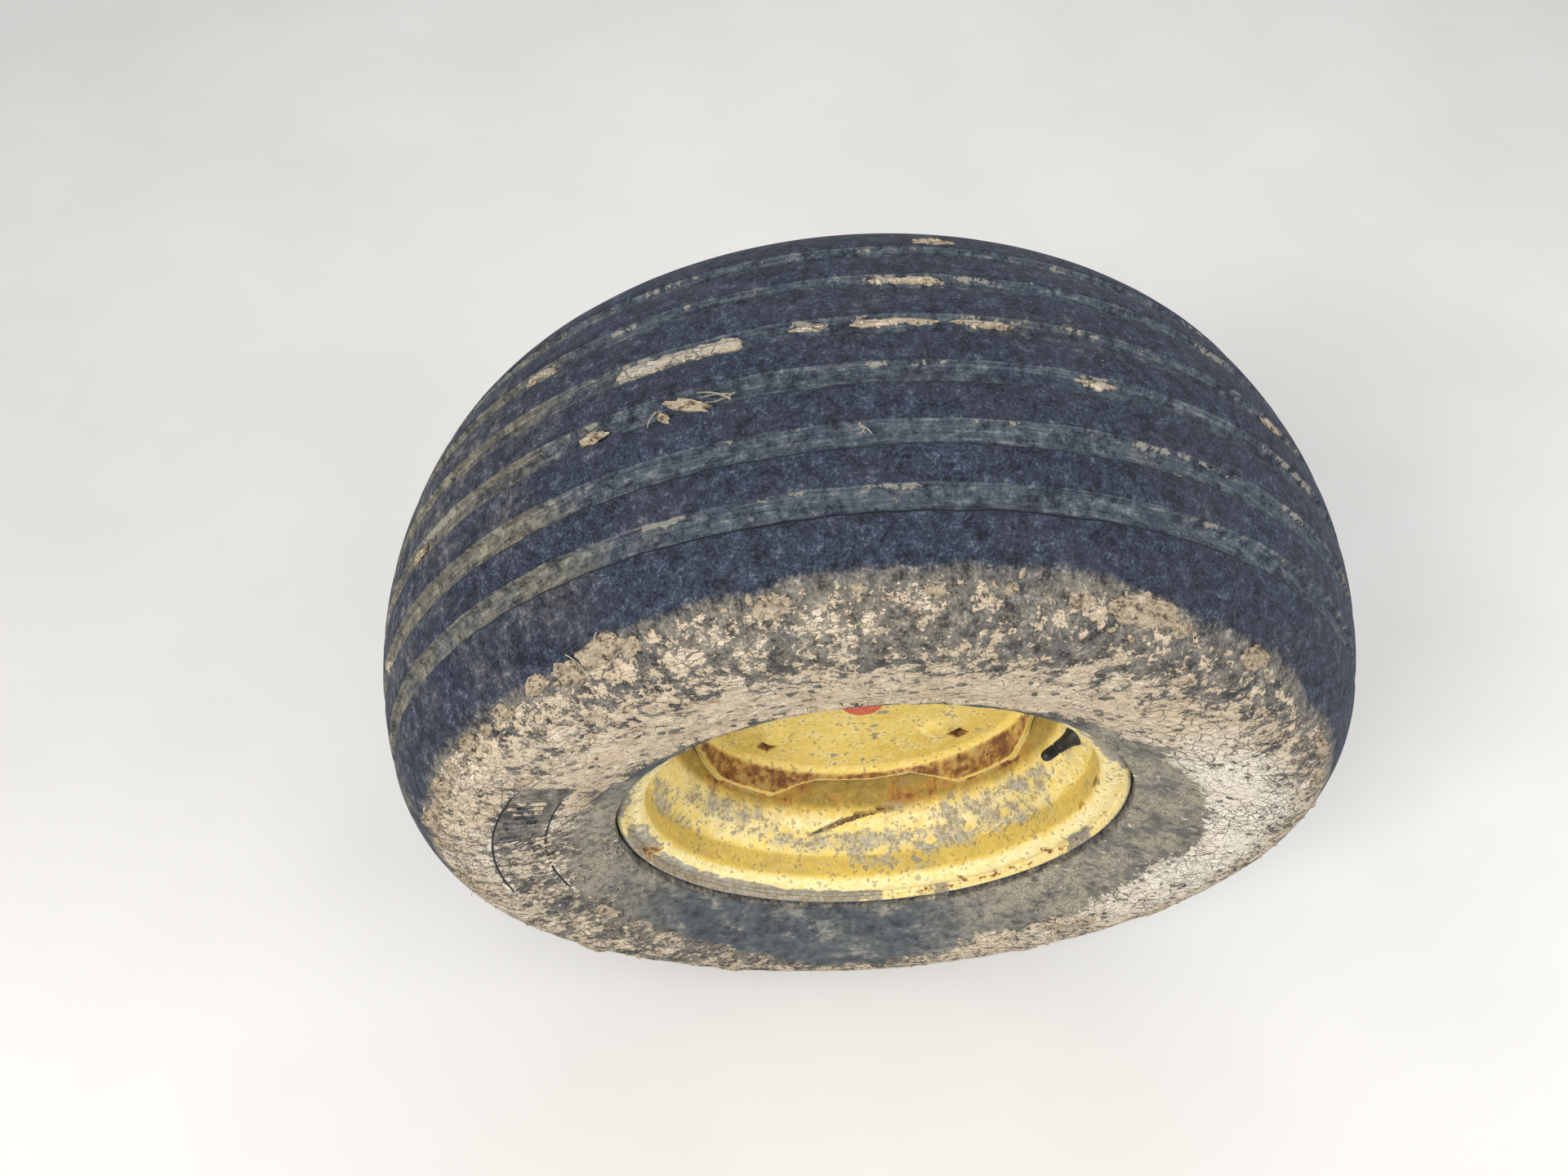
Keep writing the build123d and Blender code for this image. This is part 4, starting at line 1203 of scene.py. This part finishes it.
def build_rim():
    half = [
        (FLANGE_R - HEM_HEIGHT, LIP_EDGE), (FLANGE_R, LIP_EDGE), (FLANGE_R, FLANGE_HALF_GAP),
        (SEAT_R, FLANGE_HALF_GAP), (SEAT_END_R, SEAT_END), (WELL_R, WELL_HALF_WIDTH),
    ]
    radii = [LIP_FILLET, FLANGE_FILLET, SEAT_FILLET, SEAT_FILLET, WELL_FILLET]
    points = [(r, -y) for r, y in half] + [(r, y) for r, y in reversed(half)]
    line = rounded(points, radii + radii[::-1], 5)
    outboard = [point for point in line if point.y < 0]
    line = spaced(outboard, 4.0) + spaced([outboard[-1]] + line[len(outboard):], 14.0)[1:]
    section = sheet_section(line, RIM_SHEET)
    hollow = [0.0] * len(line) + [1.0] * len(line)      # the section's second half is the side away from the tyre
    bm = lathe([tuple(point) for point in section], 360, marks=hollow)
    hollow_side = bm.verts.layers.float["across"]
    # More points where small marks lie
    fine = set()
    for face in bm.faces:
        angle, radius, along = polar(face.calc_center_median())
        if min(vert[hollow_side] for vert in face.verts) > 0.5 and -108 < angle < -20:
            if (angle < -74 and -91 < along < -59) or (angle > -83 and -138 < along < -129):
                fine |= set(face.edges)
    bmesh.ops.subdivide_edges(bm, edges=list(fine), cuts=2, use_grid_fill=True)
    layers = painter(bm, WHEEL_LAYERS)
    for vert in bm.verts:
        angle, radius, along = polar(vert.co)
        place = vert.co.copy()
        cut = 0.0
        if vert[hollow_side] > 0.5 or along < -126:
            paint(vert, layers, rim_paint(angle, radius, along, place))
            if -92 < along < -58:
                cut = 0.7 * max(0.0, scar_at(angle, along) - 0.42)
        # Small dents in the flange and the slope; the flange's edge is no longer quite round
        dent = 0.22 * rough(place, 46, 2)
        if along < -118:
            for where, reach, depth in FLANGE_DENTS:
                dent -= depth * near(angle, radius, (where, 202, reach, 14))
        vert.co = round_wheel(angle, radius - abs(dent) * 0.5 + cut, along + dent * 0.5 * (1 if along < 0 else -1))
    return finished("rim_barrel", bm, "wheel", YELLOW, ["rim_barrel"], sharp=50)


def lobe_angles():
    """The directions of the lobes' middles."""
    return [WHEEL_TURN + 360 / LOBES * (number + 0.5) for number in range(LOBES)]


def from_lobe(angle):
    """The angle from the nearest lobe's middle, with its sign."""
    return min((apart(angle, lobe) for lobe in lobe_angles()), key=abs)


def skirt_reach(angle):
    """How far the skirt goes at a direction: 1 at the lobes, which lie on the well, and 0 between them."""
    off = abs(from_lobe(angle)) - LOBE_SPAN / 2
    if off <= 0:
        return 1.0
    part = min(off / LOBE_TAPER, 1.0)
    return (1.0 - part) ** 1.2


def disc_line():
    """The disc's outboard face from its centre hole to the lobes' edge."""
    points = [
        (CENTRE_HOLE_R, DISC_FACE), (DISC_FLAT_R, DISC_FACE), (SKIRT_R, SKIRT_EDGE + SKIRT_LAND),
        (SKIRT_R, SKIRT_EDGE),
    ]
    return rounded(points, [SKIRT_FILLET, SKIRT_FILLET], 7)


BACK_SHADE = 1.9                   # what the layer says for the near-black painted shade on the disc's back and in its holes
CUT_EDGE = (0.5, 0.1, 0.24, 0.0)                        # paint of the sheet's cut edge, in the order of the layers
# Chips in the disc's paint: direction, radius, half angle, half width
DISC_CHIPS = (
    (-151, 55, 4, 3.5), (-57, 44, 5, 4), (-90, 68, 2.2, 2.4), (-30, 93, 2.2, 3.5), (-99, 123, 2.4, 3),
    (-61, 42, 7, 4), (-112, 88, 1.2, 1.8), (-70, 100, 1.0, 2.2), (-125, 70, 1.6, 1.6), (-45, 62, 1.5, 2),
    (-82, 136, 2, 2), (20, 80, 3, 4), (75, 110, 2, 4), (120, 90, 2.5, 4), (170, 100, 2, 5),
)
# Rust on the skirt: direction, half angle
SKIRT_RUST = ((-112, 13), (-62, 15), (-33, 12), (-140, 10), (-86, 12), (40, 14), (130, 14))


def disc_paint(angle, radius, along, place, bent):
    """Bleaching, chips, rust and shade on the disc."""
    uneven = rough(place, 24, 4)
    low_side = share(abs(apart(angle, -85)), 125, 60)
    skirt = share(along, DISC_FACE - 1.5, DISC_FACE - 8) if bent else 0.0
    rusty = skirt * (0.50 + 0.35 * uneven + 0.45 * rough(place, 6, 3)) * (0.45 + 0.55 * low_side)
    for where, half in SKIRT_RUST:
        spread = share(abs(apart(angle, where)) + 3.0 * uneven, half, half * 0.35)
        rusty = max(rusty, (0.62 + 0.3 * uneven + 0.45 * rough(place, 5, 3)) * spread * share(skirt, 0.1, 1.0))
    worn = 0.15 + 0.05 * uneven + (0.2 + 0.3 * rough(place, 11, 3)) * skirt
    if not bent:
        for spot in DISC_CHIPS:
            worn = max(worn, 0.82 * near(angle, radius, spot))
        rusty = max(rusty, 0.34 * share(radius, 31, 27.5), 0.22 * share(radius, 138, 147) * low_side * (0.7 + uneven))
        for lobe in lobe_angles():
            off = max(abs(radians(apart(angle, lobe)) * radius), abs(radius - SQUARE_HOLE_R))
            rusty = max(rusty, (0.5 + 0.4 * uneven) * share(off, SQUARE_HOLE / 2 + 4.0, SQUARE_HOLE / 2 + 1.0))
    half_boss = degrees(BOSS_REACH / BOSS_R)
    bosses = [(lobe - BOSS_TURN, BOSS_R, half_boss, BOSS_REACH) for lobe in lobe_angles()]
    foot = max(near(angle, radius, boss, 1.0) for boss in bosses)
    # The skirt is duller, and a faint ring of painted shade lies round each boss's foot
    shade_and_grime = 0.66 * skirt + (0 if bent else 0.5 * foot * (1 - foot))
    return 0.36 + 0.2 * uneven, worn, rusty, shade_and_grime


def build_disc():
    line = spaced(disc_line(), 3.0)
    lengths = [0.0]
    for before, after in zip(line, line[1:]):
        lengths.append(lengths[-1] + (after - before).length)
    bend = next(mark for mark, point in zip(lengths, line) if point.y < DISC_FACE - 0.01)
    notch = next(mark for mark, point in zip(lengths, line) if point.y < NOTCH_EDGE)

    def at(mark):
        number = max(1, next((n for n, length in enumerate(lengths) if length >= mark), len(lengths) - 1))
        part = (mark - lengths[number - 1]) / (lengths[number] - lengths[number - 1])
        return line[number - 1].lerp(line[number], min(max(part, 0.0), 1.0))

    # The two rings at the square holes' inner and outer sides lie at exact radii
    hole_low, hole_high = SQUARE_HOLE_R - SQUARE_HOLE / 2, SQUARE_HOLE_R + SQUARE_HOLE / 2
    for want in (hole_low, hole_high):
        nearest = min(range(len(line)), key=lambda n: abs(line[n].x - want) if lengths[n] < bend else 1e9)
        line[nearest] = Vector((want, DISC_FACE))
        lengths[nearest] = want - CENTRE_HOLE_R
    bm = lathe([tuple(point) for point in line], DISC_STEPS, closed=False, marks=lengths)
    across = bm.verts.layers.float["across"]
    pitch = 360 / DISC_STEPS
    hole_half = round(degrees(SQUARE_HOLE / 2 / SQUARE_HOLE_R) / pitch) * pitch
    shift = WHEEL_TURN % pitch                          # a row of points runs through the middle of each lobe
    for vert in bm.verts:
        angle, radius, _ = polar(vert.co)
        angle += shift
        mark, along = vert[across], DISC_FACE
        if mark > bend:
            end = notch + (lengths[-1] - notch) * skirt_reach(angle)
            point = at(bend + (mark - bend) * (end - bend) / (lengths[-1] - bend))
            radius, along = point.x, point.y
        off = from_lobe(angle)
        if hole_low - 0.5 < radius < hole_high + 0.5 and abs(abs(off) - hole_half) < pitch / 10:
            angle += (degrees(SQUARE_HOLE / 2 / radius) - hole_half) * (1 if off > 0 else -1)
        vert.co = round_wheel(angle, radius, along)
    gone = []
    for face in bm.faces:
        angle, radius, _ = polar(face.calc_center_median())
        off = from_lobe(angle)
        if hole_low < radius < hole_high and abs(off) < hole_half:
            gone.append(face)
    bmesh.ops.delete(bm, geom=gone, context="FACES")
    # A pressed boss beside each hole, and a face that is no longer quite flat
    bosses = [round_wheel(lobe - BOSS_TURN, BOSS_R, DISC_FACE) for lobe in lobe_angles()]
    for vert in bm.verts:
        angle, radius, along = polar(vert.co)
        if vert[across] < bend:
            rise = 0.0
            for boss, height in zip(bosses, BOSS_HEIGHTS):
                rise += height * share((vert.co - boss).length, BOSS_REACH, BOSS_REACH * 0.45)
            at_hole = max(near(angle, radius, (lobe, SQUARE_HOLE_R, 7, 13)) for lobe in lobe_angles())
            vert.co.y -= rise * (1 - at_hole) + 0.35 * rough(vert.co, 60, 2) * share(radius, 45, 70)
        else:
            wave = 0.9 * rough(vert.co, 14, 3) * share(vert[across], bend, lengths[-1])
            vert.co = round_wheel(angle, radius + 0.25 * rough(vert.co, 24, 2) - 0.2, along + wave)
    bmesh.ops.recalc_face_normals(bm, faces=bm.faces)
    middle_r = (CENTRE_HOLE_R + SQUARE_HOLE_R) / 2
    flat = min(bm.faces, key=lambda face: abs(polar(face.calc_center_median())[1] - middle_r))
    if flat.normal.y > 0:
        bmesh.ops.reverse_faces(bm, faces=bm.faces)
    layers = painter(bm, WHEEL_LAYERS)
    for vert in bm.verts:
        paint(vert, layers, disc_paint(*polar(vert.co), vert.co, vert[across] >= bend))
    bmesh.ops.solidify(bm, geom=bm.faces[:], thickness=DISC_SHEET)
    # More points in the square holes' walls, so that painted shade darkens them just behind the face
    walls = [
        edge for edge in bm.edges if edge.calc_length() > DISC_SHEET * 0.8
        and all(hole_low - 1 < polar(vert.co)[1] < hole_high + 1 for vert in edge.verts)
    ]
    bmesh.ops.subdivide_edges(bm, edges=walls, cuts=2, use_grid_fill=True)
    # Painted shade: the back and the holes' walls are nearly black; the sheet's cut edge is a thin line of pale
    # orange
    for vert in bm.verts:
        if polar(vert.co)[2] > DISC_FACE + 0.8:
            vert[layers[-1]] = BACK_SHADE
    for edge in bm.edges:
        if len(edge.link_faces) == 2 and edge.calc_face_angle(0) > radians(50):
            for vert in edge.verts:
                if vert.co.y - WHEEL_Y < DISC_FACE - 3:
                    paint(vert, layers, CUT_EDGE)
    return finished("wheel_disc", bm, "wheel", YELLOW, ["wheel_disc"], sharp=42)


CAP_DENT = (-100, 7.0)        # direction, radius


def build_cap():
    """The pressed dust cap, with a rolled edge and a slightly domed end."""
    end = [(0.0, 0.3), (4.5, 0.2), (9.0, 0.05), (13.0, 0.0), (15.6, 0.35), (17.2, 1.5), (CAP_R, 3.6)]
    wall = [(CAP_R, -29.0), (CAP_R, -22.0), (18.4, -20.9), (19.4, -20.2)]
    edge = [(22.6, -20.2), (23.6, -19.9), (CAP_FLANGE_R, -19.2), (23.7, -18.2), (22.6, -18.0), (17.2, -18.0)]
    inside = [(16.5, -19.5), (16.5, -33.0), (15.2, -35.0), (12.0, -35.5), (0.0, -35.5)]
    bm = lathe([(r, CAP_END + rise) for r, rise in end] + wall + edge + inside, 96, closed=False)
    for vert in bm.verts:
        angle, radius, along = polar(vert.co)
        if along < -34 and radius < 15:
            vert.co.y += 0.9 * share((vert.co - round_wheel(*CAP_DENT, CAP_END)).length, 8, 2)
    return finished("dust_cap", bm, "wheel", CAP_RED, ["dust_cap"])


# ---------------------------------------------------------------- valve

def valve_place():
    """The valve's middle line: its start on the rim's slope and its direction out of the rim."""
    drop, width = SEAT_END_R - WELL_R, SEAT_END - WELL_HALF_WIDTH
    start_r, start_y = WELL_R + drop * VALVE_PLACE, -WELL_HALF_WIDTH - width * VALVE_PLACE
    slope = hypot(drop, width)
    out = Vector((-width / slope, -drop / slope, 0))
    start = Vector((start_r, WHEEL_Y + start_y, 0)) + out * (RIM_SHEET / 2)
    turn = Matrix.Rotation(-radians(VALVE_TURN), 3, "Y")
    return turn @ start, turn @ out


def on_valve(section, steps, fluted=None):
    """Spin a section of (radius, height above the rim) round the valve's middle line."""
    start, out = valve_place()
    bm = bmesh.new()
    points, edges = outline(bm, [(r, 0, z) for r, z in section])
    bmesh.ops.spin(bm, geom=points + edges, cent=(0, 0, 0), axis=(0, 0, 1), angle=tau, steps=steps, use_merge=True)
    bmesh.ops.remove_doubles(bm, verts=bm.verts, dist=WELD_REACH)
    if fluted:
        low, high, count, depth = fluted
        for vert in bm.verts:
            reach = hypot(vert.co.x, vert.co.y)
            if low < vert.co.z < high and reach > 1:
                ridge = 1 - depth * (0.5 + 0.5 * cos(count * atan2(vert.co.y, vert.co.x)))
                vert.co.x, vert.co.y = vert.co.x * ridge, vert.co.y * ridge
    bmesh.ops.recalc_face_normals(bm, faces=bm.faces)
    place = Matrix.Translation(start) @ out.to_track_quat("Z", "Y").to_matrix().to_4x4()
    bmesh.ops.transform(bm, matrix=place, verts=bm.verts)
    return bm


def build_valve():
    top, sheet = VALVE_LENGTH, RIM_SHEET / 2
    button = [
        (0, -sheet - 3.0), (VALVE_BASE_R - 1.2, -sheet - 3.0), (VALVE_BASE_R - 0.2, -sheet - 1.8),
        (VALVE_BASE_R - 0.6, -sheet - 0.3), (VALVE_HOLE_R, -sheet - 0.2), (VALVE_HOLE_R, sheet + 0.3),
    ]
    lip = [
        (VALVE_BASE_R - 0.4, sheet + 0.35), (VALVE_BASE_R, sheet + 0.9), (VALVE_BASE_R - 0.1, sheet + 1.7),
        (VALVE_BASE_R - 0.7, sheet + 2.3),
    ]
    # The stem flares smoothly down to its lip
    spread = VALVE_BASE_R - VALVE_STEM_R - 1.1
    flare = [
        (VALVE_STEM_R + 0.2 + spread * (1 - part / 8) ** 2.2, sheet + 2.6 + 12.0 * part / 8) for part in range(9)
    ]
    tip = [
        (VALVE_STEM_R, sheet + 17.5), (VALVE_STEM_R - 0.3, sheet + 18.3), (VALVE_TIP_R, sheet + 18.6),
        (VALVE_TIP_R, top - 1.5), (VALVE_TIP_R - 0.6, top - 1.0), (0, top - 1.0),
    ]
    stem = on_valve(button + lip + flare + tip, 56)
    finished("valve_stem", stem, "wheel", VALVE_RUBBER, ["valve_stem"])
    high = top + 2.0
    low = high - VALVE_CAP_LENGTH - 2.5
    # A ribbed skirt, then a smooth shoulder and a bevelled end with a small dimple
    skirt = [(VALVE_TIP_R, 0.15, 0.2), (VALVE_CAP_R, -0.1, 0.0), (VALVE_CAP_R, 0.15, 0.5)]
    crown = [
        (VALVE_CAP_R, 0.15, -5.0), (VALVE_CAP_R, 0.0, -4.6), (VALVE_CAP_R, -0.2, -3.4), (VALVE_CAP_R, -0.7, -2.0),
        (VALVE_CAP_R, -1.6, -0.8), (VALVE_CAP_R, -2.5, -0.2), (1.7, 0, 0), (1.3, 0, -0.3), (0.9, 0, -0.9),
        (0, 0, -1.0),
    ]
    cap = [Vector((r + out, low + up)) for r, out, up in skirt]
    cap += [Vector((r + out, high + up)) for r, out, up in crown]
    cap = [tuple(point) for point in spaced(cap, 1.2)]
    cap = on_valve(cap, 132, (low + 0.6, high - 4.6, VALVE_FLUTES, VALVE_FLUTE_DEPTH))
    finished("valve_cap", cap, "wheel", VALVE_PLASTIC, ["valve_cap"])


# ---------------------------------------------------------------- hub, axle and welds

HUB_WELD, BEAM_WELD, GUSSET_WELD = 7.0, 6.0, 4.0
WELD_STEP, WELD_RIPPLE = 0.9, 2.8
HUB_WELD_STEP, WHEEL_WELD_RIPPLE = 0.65, 3.0
LOBE_WELD_SPAN = 18.0         # degrees


def softened(node, body, material, width, sharp=32):
    """A CAD node whose hard edges are given a small round."""
    bm = bmesh.new()
    bm.from_mesh(NODES[node].data)
    bmesh.ops.scale(bm, vec=(1 / MM, 1 / MM, 1 / MM), verts=bm.verts)
    bmesh.ops.remove_doubles(bm, verts=bm.verts, dist=2 * WELD_REACH)
    bmesh.ops.dissolve_limit(bm, angle_limit=radians(1.0), verts=bm.verts, edges=bm.edges)
    edges = [edge for edge in bm.edges if len(edge.link_faces) == 2 and edge.calc_face_angle(0) > radians(40)]
    rounded_edges(bm, edges, width, clamped=True)
    bmesh.ops.recalc_face_normals(bm, faces=bm.faces)
    return finished(node, bm, body, material, [node], sharp)


def weld_swell(number):
    """How wide a straight weld is at one of its steps; ripples cross it."""
    return 1.0 + 0.16 * (abs(sin(number * WELD_STEP / WELD_RIPPLE * pi)) - 0.5) if number else 1.0


def weld_line(bm, start, end, side_a, side_b, size):
    """A straight fillet weld in the corner between two faces, whose outward sides are given."""
    run = end - start
    steps = int(run.length / WELD_STEP)
    bead = [(-0.5, -0.5), (size, -0.5), (size * 0.84, size * 0.42), (size * 0.42, size * 0.84), (-0.5, size)]
    ring, edges = outline(bm, [start + side_a * a + side_b * b for a, b in bead], closed=True)
    bm.faces.new(ring)
    step, ahead = run / steps, run.normalized()
    for number in range(steps):
        fresh, edges = pulled(bm, edges)
        middle = start + step * (number + 1)
        for vert in fresh:
            vert.co += step
            push = vert.co - middle
            push -= ahead * push.dot(ahead)
            vert.co = middle + push * weld_swell(number + 1) / weld_swell(number)
    bmesh.ops.contextual_create(bm, geom=edges)


def build_hub_weld():
    """The fillet weld between hub and disc, from behind."""
    bm = bmesh.new()
    back, size, root = DISC_FACE + DISC_SHEET, HUB_WELD, 0.6
    bead = ((-root, -root), (size, -root), (size * 0.86, size * 0.42), (size * 0.42, size * 0.86), (-root, size))
    points, edges = outline(bm, [(HUB_R + r, WHEEL_Y + (back + y), 0) for r, y in bead], closed=True)
    spun(bm, points, edges, -tau, int(tau * HUB_R / HUB_WELD_STEP))
    for vert in bm.verts:
        angle = polar(vert.co)[0]
        middle = round_wheel(angle, HUB_R + 1.6, back + 1.6)
        ripple = abs(sin(radians(angle) * HUB_R / WHEEL_WELD_RIPPLE * pi)) - 0.5
        vert.co = middle + (vert.co - middle) * (1.0 + 0.12 * ripple + 0.16 * rough(vert.co, 9, 2))
    bmesh.ops.recalc_face_normals(bm, faces=bm.faces)
    finished("hub_weld", bm, "wheel", WELD_RUST)


def build_lobe_welds():
    """Low welds between the lobes' edges and the well."""
    bm = bmesh.new()
    well = WELL_R - RIM_SHEET
    bead = ((0.4, 1.5), (-3.4, 0.5), (-3.0, -0.9), (-1.6, -2.4), (0.4, -3.2))
    for lobe in lobe_angles():
        first = lobe - LOBE_WELD_SPAN / 2
        points, edges = outline(bm, [round_wheel(first, well + r, SKIRT_EDGE + y) for r, y in bead], closed=True)
        bm.faces.new(points)
        end = spun(bm, points, edges, -radians(LOBE_WELD_SPAN), 90, merged=False)["geom_last"]
        bmesh.ops.contextual_create(bm, geom=[item for item in end if isinstance(item, bmesh.types.BMEdge)])
    bmesh.ops.remove_doubles(bm, verts=bm.verts, dist=WELD_REACH)
    for vert in bm.verts:
        angle, radius, along = polar(vert.co)
        if radius < well:
            swell = 0.25 * abs(sin(radians(angle) * well / WHEEL_WELD_RIPPLE * pi)) + 0.25 * rough(vert.co, 7, 2)
            vert.co = round_wheel(angle, radius - swell * 0.6, along - swell * 0.4)
    layers = painter(bm, WHEEL_LAYERS)
    for vert in bm.verts:
        bleached, worn, rusty, shade_and_grime = rim_paint(*polar(vert.co), vert.co)
        paint(vert, layers, (bleached, worn, rusty + 0.12, shade_and_grime))
    bmesh.ops.recalc_face_normals(bm, faces=bm.faces)
    finished("lobe_welds", bm, "wheel", YELLOW)


BEAM_HALF, PLATE_THICKNESS = 35.0, 12.0
GUSSETS = {"gusset_top": 90, "gusset_bottom": -90, "gusset_front": 0, "gusset_rear": 180}
GUSSET_LENGTH, GUSSET_HEIGHT, GUSSET_HALF = 70.0, 40.0, 4.0


def build_axle():
    """The bolt plate, the beam with its gussets and welds, and the spindle."""
    softened("axle_plate", "axle", RED, 1.6)
    softened("axle_beam", "axle", RED, 1.2, 50)
    for node in GUSSETS:
        softened(node, "axle", RED, 1.2)
    bm = bmesh.new()
    outboard = Vector((0, -1, 0))
    on_plate = outboard * PLATE_THICKNESS
    # The beam's four faces, on both sides of the gusset that stands in their middle
    start, end = GUSSET_HALF + 5, BEAM_HALF - 8.0
    for side in (1, -1):
        for face, across in ((Vector((side, 0, 0)), Vector((0, 0, 1))), (Vector((0, 0, side)), Vector((1, 0, 0)))):
            for first, last in ((-end, -start), (start, end)):
                edge = face * BEAM_HALF + on_plate
                weld_line(bm, edge + across * first, edge + across * last, face, outboard, BEAM_WELD)
    # Both sides of each gusset, along the beam and along the plate
    for angle in GUSSETS.values():
        out = Vector((cos(radians(angle)), 0, sin(radians(angle))))
        for flank in (Vector((-out.z, 0, out.x)), Vector((out.z, 0, -out.x))):
            corner = out * BEAM_HALF + flank * GUSSET_HALF + on_plate
            weld_line(bm, corner + outboard * 6, corner + outboard * (GUSSET_LENGTH - 3), flank, out, GUSSET_WELD)
            weld_line(bm, corner + out * 6, corner + out * (GUSSET_HEIGHT - 3), flank, outboard, GUSSET_WELD)
    bmesh.ops.recalc_face_normals(bm, faces=bm.faces)
    finished("axle_welds", bm, "axle", RED)
    softened("spindle", "axle", STEEL, 0.8)


build_tyre()
build_mud()
build_straw()
build_bars()
build_rim()
build_disc()
build_cap()
build_valve()
build_hub_weld()
build_lobe_welds()
softened("hub_barrel", "wheel", YELLOW, 1.0)
softened("grease_seal", "wheel", SEAL_RUBBER, 0.6)
build_axle()


# ---------------------------------------------------------------- floor, light and camera

FLOOR_HALF = 6.0              # metres, as all that follows
SKY_COLOUR, SKY_STRENGTH = (0.98, 0.985, 1.0, 1), 0.56
LIT_PLACE = (0, -0.2, 0)
# Square lights that face the wheel: name, place, size, power, colour
LIGHTS = (
    ("key", (-1.5, -1.6, 2.0), 0.9, 58, (1.0, 0.97, 0.93)),
    ("side", (1.9, -1.2, 1.3), 1.4, 29, (1.0, 0.985, 0.96)),
    ("back", (0.4, 1.9, 1.6), 1.4, 10, (1.0, 1.0, 1.0)),
)
CAMERA_PLACE = (-0.0907, -0.7255, 0.9201)
CAMERA_DOWN, CAMERA_YAW = 0.989, 0.048                  # radians below level, and towards +X
FOCAL_PIXELS, IMAGE_WIDTH, SENSOR = 1468.7, 1920.0, 36.0


def build_floor():
    """A pale floor under the tyre, which is not a piece of the part."""
    bm = bmesh.new()
    bmesh.ops.create_grid(bm, x_segments=2, y_segments=2, size=FLOOR_HALF)
    bmesh.ops.translate(bm, verts=bm.verts, vec=(0, 0, -CROWN_R * MM))
    mesh = bpy.data.meshes.new("floor")
    bm.to_mesh(mesh)
    bm.free()
    f = Finish("pale_floor", roughness=0.9, specular=0.1)
    mesh.materials.append(f.done(f.colours(f.grain(3.0, 3), (0.3, (222, 221, 218)), (0.7, (228, 227, 225)))))
    floor = bpy.data.objects.new("floor", mesh)
    bpy.context.scene.collection.objects.link(floor)


def area_light(name, place, size, power, colour):
    """A square light that faces the wheel."""
    data = bpy.data.lights.new(name, "AREA")
    data.shape, data.size, data.energy, data.color = "SQUARE", size, power, colour
    light = bpy.data.objects.new(name, data)
    light.location = place
    light.rotation_euler = (Vector(LIT_PLACE) - Vector(place)).to_track_quat("-Z", "Y").to_euler()
    bpy.context.scene.collection.objects.link(light)


def build_studio():
    """A sky that lights softly and looks white, and the three lights."""
    world = bpy.data.worlds.new("studio")
    world.use_nodes = True
    nodes, links = world.node_tree.nodes, world.node_tree.links
    nodes.clear()
    lit, seen, mix, path, end, first, second = (nodes.new("ShaderNode" + kind) for kind in (
        "Background", "Background", "MixShader", "LightPath", "OutputWorld", "Math", "Math",
    ))
    lit.inputs["Color"].default_value, lit.inputs["Strength"].default_value = SKY_COLOUR, SKY_STRENGTH
    seen.inputs["Color"].default_value, seen.inputs["Strength"].default_value = (1, 1, 1, 1), 1.0
    first.operation = second.operation = "MAXIMUM"
    for start, target in (
        (path.outputs["Is Camera Ray"], first.inputs[0]), (path.outputs["Is Glossy Ray"], first.inputs[1]),
        (first.outputs[0], second.inputs[0]), (path.outputs["Is Transmission Ray"], second.inputs[1]),
        (second.outputs[0], mix.inputs[0]), (lit.outputs[0], mix.inputs[1]), (seen.outputs[0], mix.inputs[2]),
        (mix.outputs[0], end.inputs["Surface"]),
    ):
        links.new(start, target)
    bpy.context.scene.world = world
    for light in LIGHTS:
        area_light(*light)


def build_camera():
    """The camera, as fitted to the tyre's grooves and outlines and the flange."""
    data = bpy.data.cameras.new("camera")
    data.sensor_width, data.sensor_fit = SENSOR, "HORIZONTAL"
    data.lens = FOCAL_PIXELS / IMAGE_WIDTH * SENSOR
    camera = bpy.data.objects.new("camera", data)
    camera.location = CAMERA_PLACE
    camera.rotation_euler = (pi / 2 - CAMERA_DOWN, 0, -CAMERA_YAW)
    bpy.context.scene.collection.objects.link(camera)
    bpy.context.scene.camera = camera


build_floor()
build_studio()
build_camera()
bpy.context.scene.view_settings.view_transform = "Standard"
